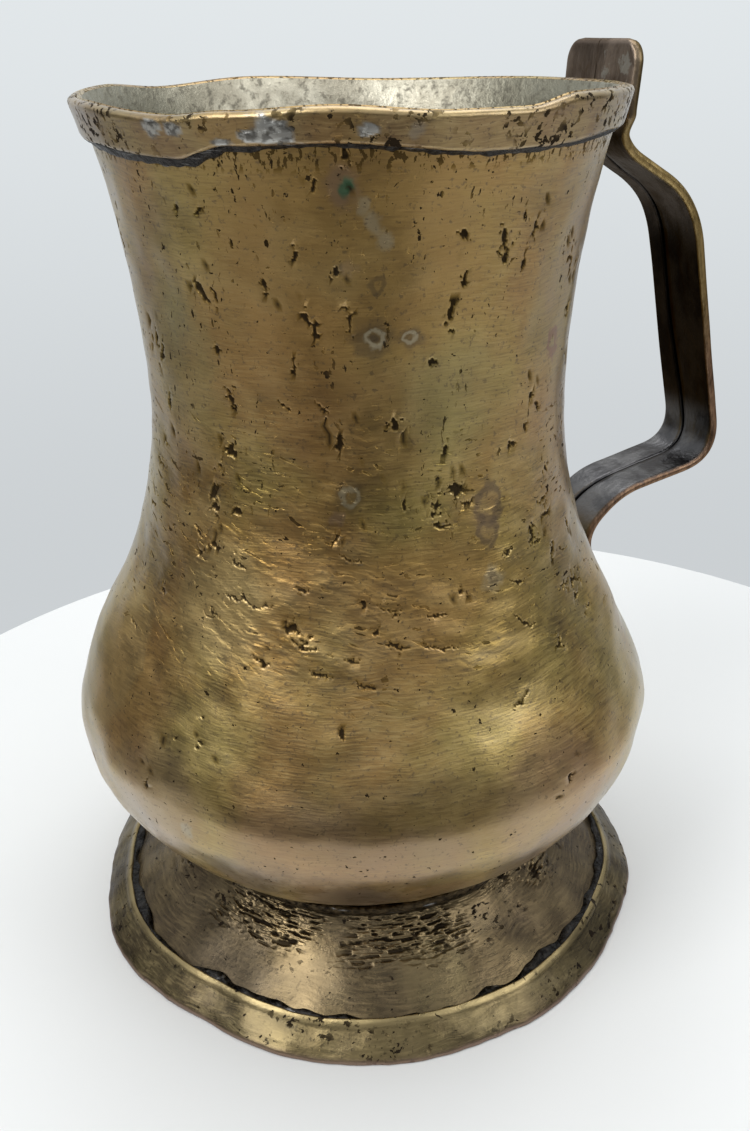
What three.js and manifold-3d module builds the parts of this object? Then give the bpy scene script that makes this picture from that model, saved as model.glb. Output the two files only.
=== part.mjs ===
// Brass tankard: an open, pear-shaped vessel on a flared foot, with a folded strap handle.
// Millimetres, +Z up, the handle along +X and the floor at Z = 0.

import * as THREE from 'three';
import { mergeVertices } from 'three/addons/utils/BufferGeometryUtils.js';
import Module from 'manifold-3d';

// Vessel, to the outer face of its sheet
const lipHeight = 196;
const lipRadius = 54.8;
const lipFlare = 4.8;
const waistHeight = 136;
const waistRadius = 46.7;
const bulbHeight = 60;
const bulbRadius = 70.6;
const baseHeight = 19.5;
const baseRadius = 40;
const vesselWall = 1.3;

// How far each end of a sweep runs on before it turns: the higher, the fuller the curve
const bottomRun = 17;
const bottomClimb = 12;
const bulbPullBelow = 17;
const bulbPullAbove = 12;
const waistPullBelow = 37;
const waistPullAbove = 22;
const lipPull = 16;

// Bottom of the vessel
const discThickness = 1.2;
const discDome = 1.6;
const discInset = 2.2;

// Band round the mouth
const rimBandWidth = 6.8;
const rimBandThickness = 1.3;

// Foot
const footRadius = 71.8;
const footLedge = 2.9;
const throatRadius = 45.6;
const skirtThickness = 1.2;
const skirtLift = 1.5;
const skirtRun = 9;
const skirtClimb = 7.6;
const throatSpread = 0.9;
const throatPull = 7;
const footBandWidth = 6.2;
const footBandThickness = 1.5;
const footEdgeHeight = 1.2;
const footFlatWidth = 2;

// Solder beads
const beadWidth = 2.2;
const beadHeight = 0.9;
const creaseBeadWidth = 2.2;
const creaseBeadDrop = 2;
const terminalBeadRadius = 0.8;

// Handle: a strap folded round from sheet, its two edges meeting in an open seam on the inner face
const strapWidth = 19.4;
const strapSheet = 1.05;
const foldGap = 0.3;
const seamWidth = 1;
const seamOffset = 4;
const handleReach = 103.6;
const gripLean = 15;
const gripTop = 169.1;
const heelHeight = 102.4;
const lowerArmFall = 5.8;
const terminalTop = 87.2;
const terminalEnd = 77.8;
const curlOut = 4.4;
const curlIn = 0.6;
const curlFall = 5.2;

// Room for the turn at each corner of the handle, from the tab down to the terminal
const tabTurn = 3;
const gripTurn = 8;
const heelTurn = 11.5;
const curlTurn = 6;
const curlEndTurn = 5;
const terminalTurn = 2.5;
const terminalBend = 2;
const turnShare = 0.49;

// Tab: the strap's upper end, hammered out flat above the lip
const tabWidth = 23.8;
const tabThickness = 2.9;
const tabRise = 10;
const tabDrop = 11;
const tabCorner = 5;
const tabLean = 4;
const tabStandoff = 2.5;
const tabEdgeRound = 0.6;
const tabOverlap = 2;
const tabBendDrop = 1;

// Unevenness left by the hammer
const footWave = 0.6;
const footWaveCount = 5;
const footWaveCrest = 180;
const footWaveReach = 25;
const lipWave = 0.6;
const lipWaveCount = 5;
const lipWaveCrest = -119;
const lipWaveOnset = 12;

// Gap between pieces that touch, and facets round the vessel
const clearance = 0.3;
const facets = 56;

// Level distance over square distance from the sloping shoulder that the terminal lies on
const shoulderSlope = 1.1;

const wasm = await Module();
wasm.setup();

const tankard = new THREE.Group();

const oliveBrass = new THREE.MeshStandardMaterial({ color: 0x8a7448, roughness: 0.38, metalness: 1 });
const goldenBrass = new THREE.MeshStandardMaterial({ color: 0xa08a50, roughness: 0.34, metalness: 1 });
const pinkBrass = new THREE.MeshStandardMaterial({ color: 0x8a6d55, roughness: 0.42, metalness: 1 });
const darkBrass = new THREE.MeshStandardMaterial({ color: 0x5c4f42, roughness: 0.5, metalness: 1 });
const greySolder = new THREE.MeshStandardMaterial({ color: 0x3c3f42, roughness: 0.6, metalness: 0.8 });

// A solid for joining and cutting, from a closed geometry
function solidOf(geometry) {
  const bare = geometry.clone();
  bare.deleteAttribute('normal');
  bare.deleteAttribute('uv');
  const merged = mergeVertices(bare);
  const vertProperties = new Float32Array(merged.attributes.position.array);
  const triVerts = new Uint32Array(merged.index.array);
  return new wasm.Manifold(new wasm.Mesh({ numProp: 3, vertProperties, triVerts }));
}

function geometryOf(solid) {
  const mesh = solid.getMesh();
  const geometry = new THREE.BufferGeometry();
  geometry.setAttribute('position', new THREE.BufferAttribute(mesh.vertProperties, 3));
  geometry.setIndex(new THREE.BufferAttribute(mesh.triVerts, 1));
  return geometry;
}

// The hammer's unevenness: the foot's edge a blunt polygon, the lip gently wavy, the floor flat
function hammer(geometry) {
  const position = geometry.attributes.position;
  const footCrest = THREE.MathUtils.degToRad(footWaveCrest);
  const lipCrest = THREE.MathUtils.degToRad(lipWaveCrest);
  for (let i = 0; i < position.count; i += 1) {
    const x = position.getX(i);
    const y = position.getY(i);
    const z = position.getZ(i);
    const angle = Math.atan2(y, x);
    const footShare = Math.exp(-z / footWaveReach) / footRadius;
    const lipShare = Math.pow(z / lipHeight, lipWaveOnset);
    const stretch = 1 + footWave * footShare * Math.cos(footWaveCount * (angle - footCrest));
    const lift = lipWave * lipShare * Math.cos(lipWaveCount * (angle - lipCrest));
    position.setXYZ(i, x * stretch, y * stretch, z + lift);
  }
  return geometry;
}

function addPiece(name, geometry, material) {
  const hammered = hammer(geometry);
  hammered.computeVertexNormals();
  const piece = new THREE.Mesh(hammered, material);
  piece.name = name;
  tankard.add(piece);
}

// Revolve a closed profile of (radius, height) points, listed anticlockwise, about the vessel's axis
function revolve(profile) {
  return new THREE.LatheGeometry([...profile, profile[0]], facets).rotateX(Math.PI / 2);
}

// Points beside a curve, at a distance along its outward normal
function beside(curve, start, end, steps, distance) {
  const length = curve.getLength();
  const points = [];
  for (let i = 0; i <= steps; i += 1) {
    const share = Math.min(1, (start + (end - start) * i / steps) / length);
    const tangent = curve.getTangentAt(share);
    const point = curve.getPointAt(share);
    points.push(new THREE.Vector2(point.x + tangent.y * distance, point.y - tangent.x * distance));
  }
  return points;
}

// Length along a curve at which one of its coordinates, rising or falling steadily, has a value
function lengthWhere(curve, coordinate, value) {
  const rising = curve.getPointAt(1)[coordinate] > curve.getPointAt(0)[coordinate];
  let low = 0;
  let high = 1;
  for (let i = 0; i < 40; i += 1) {
    const middle = (low + high) / 2;
    const beyond = curve.getPointAt(middle)[coordinate] > value;
    if (beyond === rising) {
      high = middle;
    } else {
      low = middle;
    }
  }
  return low * curve.getLength();
}

// Profile of a sheet between two distances from a curve, with rounded edges
function sheetProfile(curve, start, end, steps, inner, outer) {
  const outside = beside(curve, start, end, steps, outer);
  const inside = beside(curve, start, end, steps, inner);
  const edgeRound = (outer - inner) / 3;
  const middle = (inner + outer) / 2;
  const length = curve.getLength();
  const startMiddle = beside(curve, start, start, 1, middle)[0];
  const endMiddle = beside(curve, end, end, 1, middle)[0];
  startMiddle.addScaledVector(curve.getTangentAt(start / length), -edgeRound);
  endMiddle.addScaledVector(curve.getTangentAt(Math.min(1, end / length)), edgeRound);
  return [startMiddle, ...outside, endMiddle, ...inside.reverse()];
}

// Profile of a solder bead that lies beside a curve
function beadProfile(curve, start, end) {
  const foot = beside(curve, start, end, 1, clearance);
  const quarter = (end - start) / 4;
  const crest = beside(curve, start + quarter, end - quarter, 1, clearance + beadHeight);
  return [foot[0], crest[0], crest[1], foot[1]];
}

// The vessel's outer face, from the bottom edge up to the lip, in three sweeps
const bulbUnderside = new THREE.CubicBezierCurve(
  new THREE.Vector2(baseRadius, baseHeight),
  new THREE.Vector2(baseRadius + bottomRun, baseHeight + bottomClimb),
  new THREE.Vector2(bulbRadius, bulbHeight - bulbPullBelow),
  new THREE.Vector2(bulbRadius, bulbHeight),
);
const shoulder = new THREE.CubicBezierCurve(
  new THREE.Vector2(bulbRadius, bulbHeight),
  new THREE.Vector2(bulbRadius, bulbHeight + bulbPullAbove),
  new THREE.Vector2(waistRadius, waistHeight - waistPullBelow),
  new THREE.Vector2(waistRadius, waistHeight),
);
const neck = new THREE.CubicBezierCurve(
  new THREE.Vector2(waistRadius, waistHeight),
  new THREE.Vector2(waistRadius, waistHeight + waistPullAbove),
  new THREE.Vector2(lipRadius - lipFlare, lipHeight - lipPull),
  new THREE.Vector2(lipRadius, lipHeight),
);
const vesselCurve = new THREE.CurvePath();
vesselCurve.add(bulbUnderside);
vesselCurve.add(shoulder);
vesselCurve.add(neck);
const vesselLength = vesselCurve.getLength();

function vesselRadiusAt(height) {
  const share = lengthWhere(vesselCurve, 'y', height) / vesselLength;
  return vesselCurve.getPointAt(share).x;
}

// Raised vessel, one sheet from bottom edge to lip
const bodyProfile = sheetProfile(vesselCurve, 0, vesselLength, 20, -vesselWall, 0);
addPiece('body_shell', revolve(bodyProfile), oliveBrass);

// Band soldered round the mouth, flush with the lip
const rimBandStart = vesselLength - rimBandWidth;
const rimBandOuter = clearance + rimBandThickness;
const rimBandProfile = sheetProfile(vesselCurve, rimBandStart, vesselLength, 3, clearance, rimBandOuter);
addPiece('rim_band', revolve(rimBandProfile), goldenBrass);
const rimBeadEnd = rimBandStart - rimBandThickness / 3 - clearance;
const rimBeadProfile = beadProfile(vesselCurve, rimBeadEnd - beadWidth, rimBeadEnd);
addPiece('rim_band_solder', revolve(rimBeadProfile), greySolder);

// Bottom of the vessel: a domed disc that sits inside the turned-in edge of the sheet
const discSeat = beside(vesselCurve, discInset, discInset, 1, -vesselWall - clearance)[0];
const discUnder = new THREE.QuadraticBezierCurve(
  new THREE.Vector2(0, discSeat.y + discDome),
  new THREE.Vector2(discSeat.x / 2, discSeat.y + discDome),
  discSeat,
);
const discProfile = [
  ...discUnder.getPoints(5),
  ...discUnder.getPoints(5).reverse().map((point) => new THREE.Vector2(point.x, point.y + discThickness)),
];
addPiece('base_disc', revolve(discProfile), oliveBrass);

// Solder in the corner between the disc and the sheet's edge
const sheetEdge = beside(vesselCurve, 0, discInset - clearance, 1, -vesselWall - clearance);
addPiece('base_disc_solder', revolve([
  new THREE.Vector2(sheetEdge[0].x - discInset, discSeat.y - clearance),
  sheetEdge[0],
  new THREE.Vector2(sheetEdge[1].x, discSeat.y - clearance),
]), greySolder);

// Foot skirt: a cone that sweeps up from the floor into an upright throat under the bulb
const throatSeat = bulbUnderside.getPointAt(
  lengthWhere(bulbUnderside, 'x', throatRadius - skirtThickness) / bulbUnderside.getLength(),
);
const throatTop = throatSeat.y - 2 * clearance - skirtThickness / 3;
const skirtCurve = new THREE.CubicBezierCurve(
  new THREE.Vector2(footRadius - footLedge, skirtLift),
  new THREE.Vector2(footRadius - footLedge - skirtRun, skirtLift + skirtClimb),
  new THREE.Vector2(throatRadius + throatSpread, throatTop - throatPull),
  new THREE.Vector2(throatRadius, throatTop),
);
const skirtLength = skirtCurve.getLength();
const skirtProfile = sheetProfile(skirtCurve, 0, skirtLength, 7, -skirtThickness, 0);
addPiece('foot_skirt', revolve(skirtProfile), pinkBrass);

// Solder in the crease between bulb and throat
const creaseSide = beside(skirtCurve, skirtLength - creaseBeadDrop, skirtLength, 1, clearance);
const creaseStart = lengthWhere(bulbUnderside, 'x', throatRadius + 2 * clearance);
const creaseRoof = beside(bulbUnderside, creaseStart, creaseStart + creaseBeadWidth, 1, clearance);
const creaseProfile = [creaseSide[0], creaseRoof[1], creaseRoof[0], creaseSide[1]];
addPiece('body_foot_solder', revolve(creaseProfile), greySolder);

// Foot band: the thick strip over the skirt's edge, with the flat face that stands on the floor
const footBandOuter = clearance + footBandThickness;
const footBandTop = beside(skirtCurve, 0, footBandWidth, 3, footBandOuter);
const footBandUnder = beside(skirtCurve, 0, footBandWidth, 3, clearance);
addPiece('foot_band', revolve([
  new THREE.Vector2(footRadius - footFlatWidth, 0),
  new THREE.Vector2(footRadius, 0),
  new THREE.Vector2(footRadius, footEdgeHeight),
  ...footBandTop,
  ...footBandUnder.reverse(),
]), goldenBrass);
const footBeadStart = footBandWidth + clearance;
const footBeadProfile = beadProfile(skirtCurve, footBeadStart, footBeadStart + beadWidth);
addPiece('foot_band_solder', revolve(footBeadProfile), greySolder);

// Flat tab, leaning out a little, drawn as seen from the side of the mouth
const tabInnerFace = lipRadius + rimBandOuter + tabStandoff;
const tabHalf = tabWidth / 2 - tabEdgeRound;
const strapHalf = strapWidth / 2 - tabEdgeRound;
const tabOutline = new THREE.Shape();
tabOutline.moveTo(-strapHalf, -tabDrop);
tabOutline.lineTo(strapHalf, -tabDrop);
tabOutline.lineTo(tabHalf, -tabDrop / 2);
tabOutline.lineTo(tabHalf, tabRise - tabCorner);
tabOutline.quadraticCurveTo(tabHalf, tabRise - tabEdgeRound, tabHalf - tabCorner, tabRise - tabEdgeRound);
tabOutline.lineTo(tabCorner - tabHalf, tabRise - tabEdgeRound);
tabOutline.quadraticCurveTo(-tabHalf, tabRise - tabEdgeRound, -tabHalf, tabRise - tabCorner);
tabOutline.lineTo(-tabHalf, -tabDrop / 2);
const tab = new THREE.ExtrudeGeometry(tabOutline, {
  depth: tabThickness - 2 * tabEdgeRound,
  bevelThickness: tabEdgeRound,
  bevelSize: tabEdgeRound,
  bevelSegments: 2,
  curveSegments: 4,
});
tab.translate(0, 0, tabEdgeRound);
tab.rotateX(Math.PI / 2);
tab.rotateZ(Math.PI / 2);
tab.rotateY(THREE.MathUtils.degToRad(tabLean));
tab.translate(tabInnerFace, 0, lipHeight);

// Middle line of the strap: straight runs between rounded corners, down onto the bulb's shoulder
const strapThickness = 2 * strapSheet + foldGap;
const strapSeat = clearance + strapThickness / 2;
const tabSlope = Math.tan(THREE.MathUtils.degToRad(tabLean));
const gripSlope = Math.tan(THREE.MathUtils.degToRad(90 - gripLean));
const strapTop = lipHeight - tabDrop + tabOverlap;
const tabMiddle = tabInnerFace + tabThickness / 2;
const terminal = (height) => [vesselRadiusAt(height) + strapSeat * shoulderSlope, height];
const terminalRadius = terminal(terminalTop)[0];
const curlHeight = heelHeight - lowerArmFall;
const strapCorners = [
  { at: [tabMiddle + (strapTop - lipHeight) * tabSlope, strapTop], reach: 0 },
  { at: [tabMiddle - tabDrop * tabSlope, lipHeight - tabDrop - tabBendDrop], reach: tabTurn },
  { at: [handleReach - (gripTop - heelHeight) / gripSlope, gripTop], reach: gripTurn },
  { at: [handleReach, heelHeight], reach: heelTurn },
  { at: [terminalRadius + curlOut, curlHeight], reach: curlTurn },
  { at: [terminalRadius + curlIn, curlHeight - curlFall], reach: curlEndTurn },
  { at: terminal(terminalTop), reach: terminalTurn },
  { at: terminal((terminalTop + terminalEnd) / 2), reach: terminalBend },
  { at: terminal(terminalEnd), reach: 0 },
].map((corner) => ({ at: new THREE.Vector3(corner.at[0], 0, corner.at[1]), reach: corner.reach }));
const strapPath = new THREE.CurvePath();
let reached = strapCorners[0].at;
for (let i = 1; i < strapCorners.length; i += 1) {
  const corner = strapCorners[i].at;
  const next = strapCorners[Math.min(i + 1, strapCorners.length - 1)].at;
  const shorterRun = Math.min(corner.distanceTo(strapCorners[i - 1].at), corner.distanceTo(next));
  const reach = Math.min(strapCorners[i].reach, shorterRun * turnShare);
  const turnStart = corner.clone().add(reached.clone().sub(corner).setLength(reach));
  strapPath.add(new THREE.LineCurve3(reached, turnStart));
  if (reach > 0) {
    const turnEnd = corner.clone().add(next.clone().sub(corner).setLength(reach));
    strapPath.add(new THREE.QuadraticBezierCurve3(turnStart, corner, turnEnd));
    reached = turnEnd;
  }
}

// Section of the folded strap: +y is the inner face and -x the side that the seam lies towards
const foldRadius = strapThickness / 2;
const flat = strapWidth / 2 - foldRadius;
const hollowHalf = strapWidth / 2 - strapSheet;
const seamNear = -seamOffset + seamWidth / 2;
const seamFar = -seamOffset - seamWidth / 2;
const strapSection = new THREE.Shape();
strapSection.moveTo(seamFar, foldRadius);
strapSection.lineTo(-flat, foldRadius);
strapSection.absarc(-flat, 0, foldRadius, Math.PI / 2, Math.PI * 1.5, false);
strapSection.lineTo(flat, -foldRadius);
strapSection.absarc(flat, 0, foldRadius, -Math.PI / 2, Math.PI / 2, false);
strapSection.lineTo(seamNear, foldRadius);
strapSection.lineTo(seamNear, foldGap / 2);
strapSection.lineTo(hollowHalf, foldGap / 2);
strapSection.lineTo(hollowHalf, -foldGap / 2);
strapSection.lineTo(-hollowHalf, -foldGap / 2);
strapSection.lineTo(-hollowHalf, foldGap / 2);
strapSection.lineTo(seamFar, foldGap / 2);
const strap = new THREE.ExtrudeGeometry(strapSection, {
  steps: 46,
  curveSegments: 2,
  bevelEnabled: false,
  extrudePath: strapPath,
});
addPiece('handle_strap', geometryOf(solidOf(strap).add(solidOf(tab))), darkBrass);

// Solder between the tab and the rim band, cut to the round of the band
const padOutline = new THREE.Shape();
const padTop = lipHeight - clearance;
const padBottom = beside(vesselCurve, rimBandStart, rimBandStart, 1, rimBandOuter)[0].y;
const padFace = tabInnerFace - clearance;
padOutline.moveTo(waistRadius, padBottom);
padOutline.lineTo(padFace + (padBottom - lipHeight) * tabSlope, padBottom);
padOutline.lineTo(padFace + (padTop - lipHeight) * tabSlope, padTop);
padOutline.lineTo(waistRadius, padTop);
const padHalf = strapWidth / 2;
const padBlock = new THREE.ExtrudeGeometry(padOutline, { depth: 2 * padHalf, bevelEnabled: false });
padBlock.rotateX(Math.PI / 2);
padBlock.translate(0, padHalf, 0);
const padGap = rimBandOuter + clearance;
const bandSide = beside(vesselCurve, rimBandStart - rimBandWidth, vesselLength, 4, padGap);
const bandCutter = revolve([
  new THREE.Vector2(0, bandSide[0].y),
  ...bandSide,
  new THREE.Vector2(bandSide[4].x, lipHeight + tabRise),
  new THREE.Vector2(0, lipHeight + tabRise),
]);
addPiece('handle_top_solder', geometryOf(solidOf(padBlock).subtract(solidOf(bandCutter))), greySolder);

// Solder bead that runs round the strap's lower end on the bulb
const beadOut = strapWidth / 2 + clearance + terminalBeadRadius;
const beadLow = terminalEnd - clearance - terminalBeadRadius - foldRadius;
const beadPoint = (side, height) => {
  const radius = vesselRadiusAt(height) + clearance + terminalBeadRadius * shoulderSlope;
  return new THREE.Vector3(Math.sqrt(radius * radius - side * side), side, height);
};
const terminalBead = new THREE.CatmullRomCurve3([
  beadPoint(beadOut, terminalTop),
  beadPoint(beadOut, (terminalTop + terminalEnd) / 2),
  beadPoint(beadOut, terminalEnd),
  beadPoint(flat, beadLow),
  beadPoint(0, beadLow),
  beadPoint(-flat, beadLow),
  beadPoint(-beadOut, terminalEnd),
  beadPoint(-beadOut, (terminalTop + terminalEnd) / 2),
  beadPoint(-beadOut, terminalTop),
]);
const beadSection = new THREE.Shape();
beadSection.absarc(0, 0, terminalBeadRadius, 0, 2 * Math.PI, false);
const beadTube = new THREE.ExtrudeGeometry(beadSection, {
  steps: 24,
  curveSegments: 3,
  bevelEnabled: false,
  extrudePath: terminalBead,
});
addPiece('handle_lower_solder', beadTube, greySolder);

// Origin under the middle of the whole piece, on the floor
const bounds = new THREE.Box3().setFromObject(tankard);
const centre = bounds.getCenter(new THREE.Vector3());
tankard.position.set(-centre.x, -centre.y, -bounds.min.z);

export default tankard;
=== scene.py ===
# A brass tankard: an open, pear-shaped vessel raised from sheet, with a soldered band round its
# mouth, a flared foot and a folded strap handle. Metres, +Z up, the handle along +X.
import math
import random
import bmesh
import bpy
from mathutils import Matrix, Vector, geometry, noise


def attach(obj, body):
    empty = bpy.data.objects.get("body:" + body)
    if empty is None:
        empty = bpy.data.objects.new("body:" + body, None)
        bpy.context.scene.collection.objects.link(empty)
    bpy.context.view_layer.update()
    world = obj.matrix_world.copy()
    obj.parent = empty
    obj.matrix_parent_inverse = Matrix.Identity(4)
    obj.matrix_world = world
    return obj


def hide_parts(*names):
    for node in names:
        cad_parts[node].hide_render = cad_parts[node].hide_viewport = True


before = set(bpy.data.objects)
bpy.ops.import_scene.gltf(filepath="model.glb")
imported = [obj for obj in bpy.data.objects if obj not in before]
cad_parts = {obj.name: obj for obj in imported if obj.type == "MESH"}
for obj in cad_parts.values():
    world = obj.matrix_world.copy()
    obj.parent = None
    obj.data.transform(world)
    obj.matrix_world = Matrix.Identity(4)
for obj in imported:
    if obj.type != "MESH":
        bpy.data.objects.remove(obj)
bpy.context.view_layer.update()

# Camera, lamps, backdrop and floor. The camera stands close and a little above the rim, and the
# vessel's own axis is to one side of the origin, because the handle shares the middle of the box.
axis = Vector((-0.015, 0, 0))
camera_turn = math.radians(-26.5)
camera_tilt = math.radians(90 - 26.09)
camera_roll = math.radians(-0.74)
camera_place = Vector((0.0035, -0.2464, 0.2099))
camera_side = Matrix.Rotation(camera_turn, 3, "Z")
front = camera_side @ Vector((0, -1, 0))
right_hand = camera_side @ Vector((1, 0, 0))
camera_data = bpy.data.cameras.new("camera")
camera_data.sensor_width = 36
camera_data.lens = 35.46
camera_data.clip_start = 0.01
camera = bpy.data.objects.new("camera", camera_data)
camera.matrix_world = (
    Matrix.Translation(axis + camera_side @ camera_place)
    @ Matrix.Rotation(camera_turn, 4, "Z")
    @ Matrix.Rotation(camera_tilt, 4, "X")
    @ Matrix.Rotation(camera_roll, 4, "Z")
)
bpy.context.scene.collection.objects.link(camera)
bpy.context.scene.camera = camera
bpy.context.scene.view_settings.view_transform = "Standard"
lamp_distance = 0.9
lamp_target = Vector((0, 0, 0.1))


def soft_box(name, turn, rise, width, height, power):
    """An area lamp aimed at the tankard, turned to the right of the camera's side and raised, in degrees."""
    flat = Matrix.Rotation(math.radians(turn), 3, "Z") @ front
    upright = Vector((0, 0, math.sin(math.radians(rise))))
    data = bpy.data.lights.new(name, "AREA")
    data.shape = "RECTANGLE"
    data.size = width
    data.size_y = height
    data.energy = power
    lamp = bpy.data.objects.new(name, data)
    lamp.location = lamp_target + lamp_distance * (flat * math.cos(math.radians(rise)) + upright)
    lamp.rotation_euler = (lamp_target - lamp.location).to_track_quat("-Z", "Y").to_euler()
    bpy.context.scene.collection.objects.link(lamp)


soft_box("soft_box_left", -48, 43, 0.40, 0.7, 3.6)
soft_box("soft_box_right", 64, 32, 0.40, 0.5, 1.5)
soft_box("soft_box_above", 165, 72, 0.7, 0.7, 3.6)


def node(tree, kind, inputs=(), **settings):
    """One shader node, its inputs given as values or as the outputs of other nodes."""
    made = tree.nodes.new(kind)
    for name, value in settings.items():
        setattr(made, name, value)
    for name, value in dict(inputs).items():
        if isinstance(value, bpy.types.NodeSocket):
            tree.links.new(value, made.inputs[name])
        else:
            made.inputs[name].default_value = value
    return made


def ramp(tree, value, low, high, to_low=0.0, to_high=1.0):
    """A smooth step of a value from low to high."""
    inputs = {"Value": value, "From Min": low, "From Max": high, "To Min": to_low, "To Max": to_high}
    return node(tree, "ShaderNodeMapRange", inputs, interpolation_type="SMOOTHSTEP").outputs["Result"]


def mixed(tree, share, first, second, mode="MIX"):
    """Two colours mixed."""
    made = node(tree, "ShaderNodeMix", data_type="RGBA", blend_type=mode)
    for index, value in ((0, share), (6, first), (7, second)):
        if isinstance(value, bpy.types.NodeSocket):
            tree.links.new(value, made.inputs[index])
        elif index == 0:
            made.inputs[index].default_value = value
        else:
            made.inputs[index].default_value = (*value, 1)
    return made.outputs[2]


def chained(tree, operation, *values):
    """A chain of one arithmetic operation."""
    total = values[0]
    for value in values[1:]:
        total = node(tree, "ShaderNodeMath", {0: total, 1: value}, operation=operation).outputs[0]
    return total


def leaning(tree, direction, way):
    """How far a direction points along a given way."""
    inputs = {0: direction, 1: tuple(way)}
    return node(tree, "ShaderNodeVectorMath", inputs, operation="DOT_PRODUCT").outputs["Value"]


world = bpy.data.worlds.new("backdrop")
world.use_nodes = True
bpy.context.scene.world = world
sky = world.node_tree
sky.nodes.clear()
direction = node(sky, "ShaderNodeTexCoord").outputs["Generated"]
height = node(sky, "ShaderNodeSeparateXYZ", {0: direction}).outputs["Z"]
wall = mixed(sky, ramp(sky, height, -0.45, 0.10), (0.60, 0.63, 0.65), (0.77, 0.81, 0.83))
lateral = leaning(sky, direction, right_hand)
aside = node(sky, "ShaderNodeMath", {0: lateral}, operation="ABSOLUTE").outputs[0]
low_middle = mixed(sky, ramp(sky, height, -0.5, -0.15), (0.18, 0.17, 0.16), (0.060, 0.058, 0.055))
low_side = mixed(sky, ramp(sky, height, -0.42, -0.12), (0.42, 0.41, 0.39), (0.075, 0.073, 0.070))
low_right = mixed(sky, ramp(sky, height, -0.30, -0.08), (0.55, 0.53, 0.51), (0.075, 0.073, 0.070))
low_side = mixed(sky, ramp(sky, lateral, 0.0, 0.3), low_side, low_right)
room_low = mixed(sky, ramp(sky, aside, 0.30, 0.65), low_middle, low_side)
room = mixed(sky, ramp(sky, height, 0.0, 0.5), room_low, (0.62, 0.64, 0.65))
sky_colour = mixed(sky, ramp(sky, leaning(sky, direction, front), -0.80, -0.35), wall, room)
sky_light = node(sky, "ShaderNodeBackground", {"Color": sky_colour, "Strength": 1.0})
node(sky, "ShaderNodeOutputWorld", {"Surface": sky_light.outputs[0]})

floor_radius = 0.2
floor_thickness = 0.012
floor_middle = (0.0099, 0.0008)
floor_mesh = bmesh.new()
bmesh.ops.create_cone(
    floor_mesh, cap_ends=True, segments=160, radius1=floor_radius, radius2=floor_radius,
    depth=floor_thickness, matrix=Matrix.Translation((*floor_middle, -floor_thickness / 2)),
)
top_edges = [edge for edge in floor_mesh.edges if all(abs(vert.co.z) < 1e-5 for vert in edge.verts)]
bmesh.ops.bevel(
    floor_mesh, geom=top_edges, offset=0.002, offset_type="OFFSET", segments=3, profile=0.5,
    affect="EDGES", material=-1,
)
floor_data = bpy.data.meshes.new("floor")
floor_mesh.to_mesh(floor_data)
floor_mesh.free()
floor = bpy.data.objects.new("floor", floor_data)
bpy.context.scene.collection.objects.link(floor)
floor_finish = bpy.data.materials.new("pale_floor")
floor_finish.use_nodes = True
paint = floor_finish.node_tree.nodes["Principled BSDF"]
paint.inputs["Base Color"].default_value = (0.82, 0.83, 0.83, 1)
paint.inputs["Roughness"].default_value = 0.6
floor_data.materials.append(floor_finish)

# Vessel: one brass sheet raised and hammered into a pear shape, tinned inside. The outside keeps
# the hammer's marks, cracks and pits of long wear, and a brown and olive patina.
WALL = 0.0013
LIP_HEIGHT = 0.196
bottom_corners = ((40, 19.5), (57, 31.5), (70.6, 43), (70.6, 60))
shoulder_corners = ((70.6, 60), (70.6, 72), (46.7, 99), (46.7, 136))
neck_corners = ((46.7, 136), (46.7, 158), (50, 180), (54.8, 196))


def sweep(corners, count):
    """Points on a curve through its first and last corner, in millimetres, as (radius, 0, height)."""
    knots = [Vector((radius, 0, rise)) / 1000 for radius, rise in corners]
    return geometry.interpolate_bezier(*knots, count)


def beside(points, distance):
    """Points beside a line of points, to its outward side."""
    moved = []
    for index, point in enumerate(points):
        along = points[min(index + 1, len(points) - 1)] - points[max(index - 1, 0)]
        moved.append(point + Vector((along.z, 0, -along.x)).normalized() * distance)
    return moved


def thinned(points, count):
    """A line of points with fewer of them, its ends kept."""
    return [points[round(index * (len(points) - 1) / (count - 1))] for index in range(count)]


def turned(profile, steps):
    """A closed ring of points (radius, 0, height), spun about the vessel's axis into one skin."""
    made = bmesh.new()
    verts = [made.verts.new(point) for point in profile]
    edges = [made.edges.new((vert, verts[index - 1])) for index, vert in enumerate(verts)]
    bmesh.ops.spin(
        made, geom=verts + edges, cent=(0, 0, 0), axis=(0, 0, 1), dvec=(0, 0, 0),
        angle=math.tau, steps=steps, use_merge=True, use_normal_flip=False, use_duplicate=False,
    )
    bmesh.ops.remove_doubles(made, verts=made.verts, dist=1e-7)
    bmesh.ops.recalc_face_normals(made, faces=made.faces)
    return made


def eased(value, low, high):
    """A smooth step from 0 to 1."""
    share = min(1.0, max(0.0, (value - low) / (high - low)))
    return share * share * (3 - 2 * share)


# How far the lip rises over its mean height, and how far the foot's edge stands out, in
# millimetres, at angles in degrees from the handle
LIP_WAVE = (
    (-180, 0.6), (-150, -0.6), (-138, 0.2), (-119, 1.1), (-98, 0.0), (-83, 0.0), (-70, 1.7), (9, 1.0),
    (55, 0.2), (92, 1.2), (117, 0.1), (140, 1.4), (180, 0.6),
)
FOOT_WAVE = (
    (-180, 0.3), (-170, 0.2), (-160, -0.8), (-149, -1.7), (-138, -0.5), (-130, 0.2), (-110, 0.5),
    (-90, -0.2), (-82, 0.4), (-72, -0.4), (-51, -1.0), (-35, 0.6), (-12, -0.6), (30, 0.5), (48, -0.5),
    (72, 0.3), (104, -0.6), (120, 0.3), (162, -1.4), (172, -0.5), (180, 0.3),
)
FOOT_RADIUS = 0.0718


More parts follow.
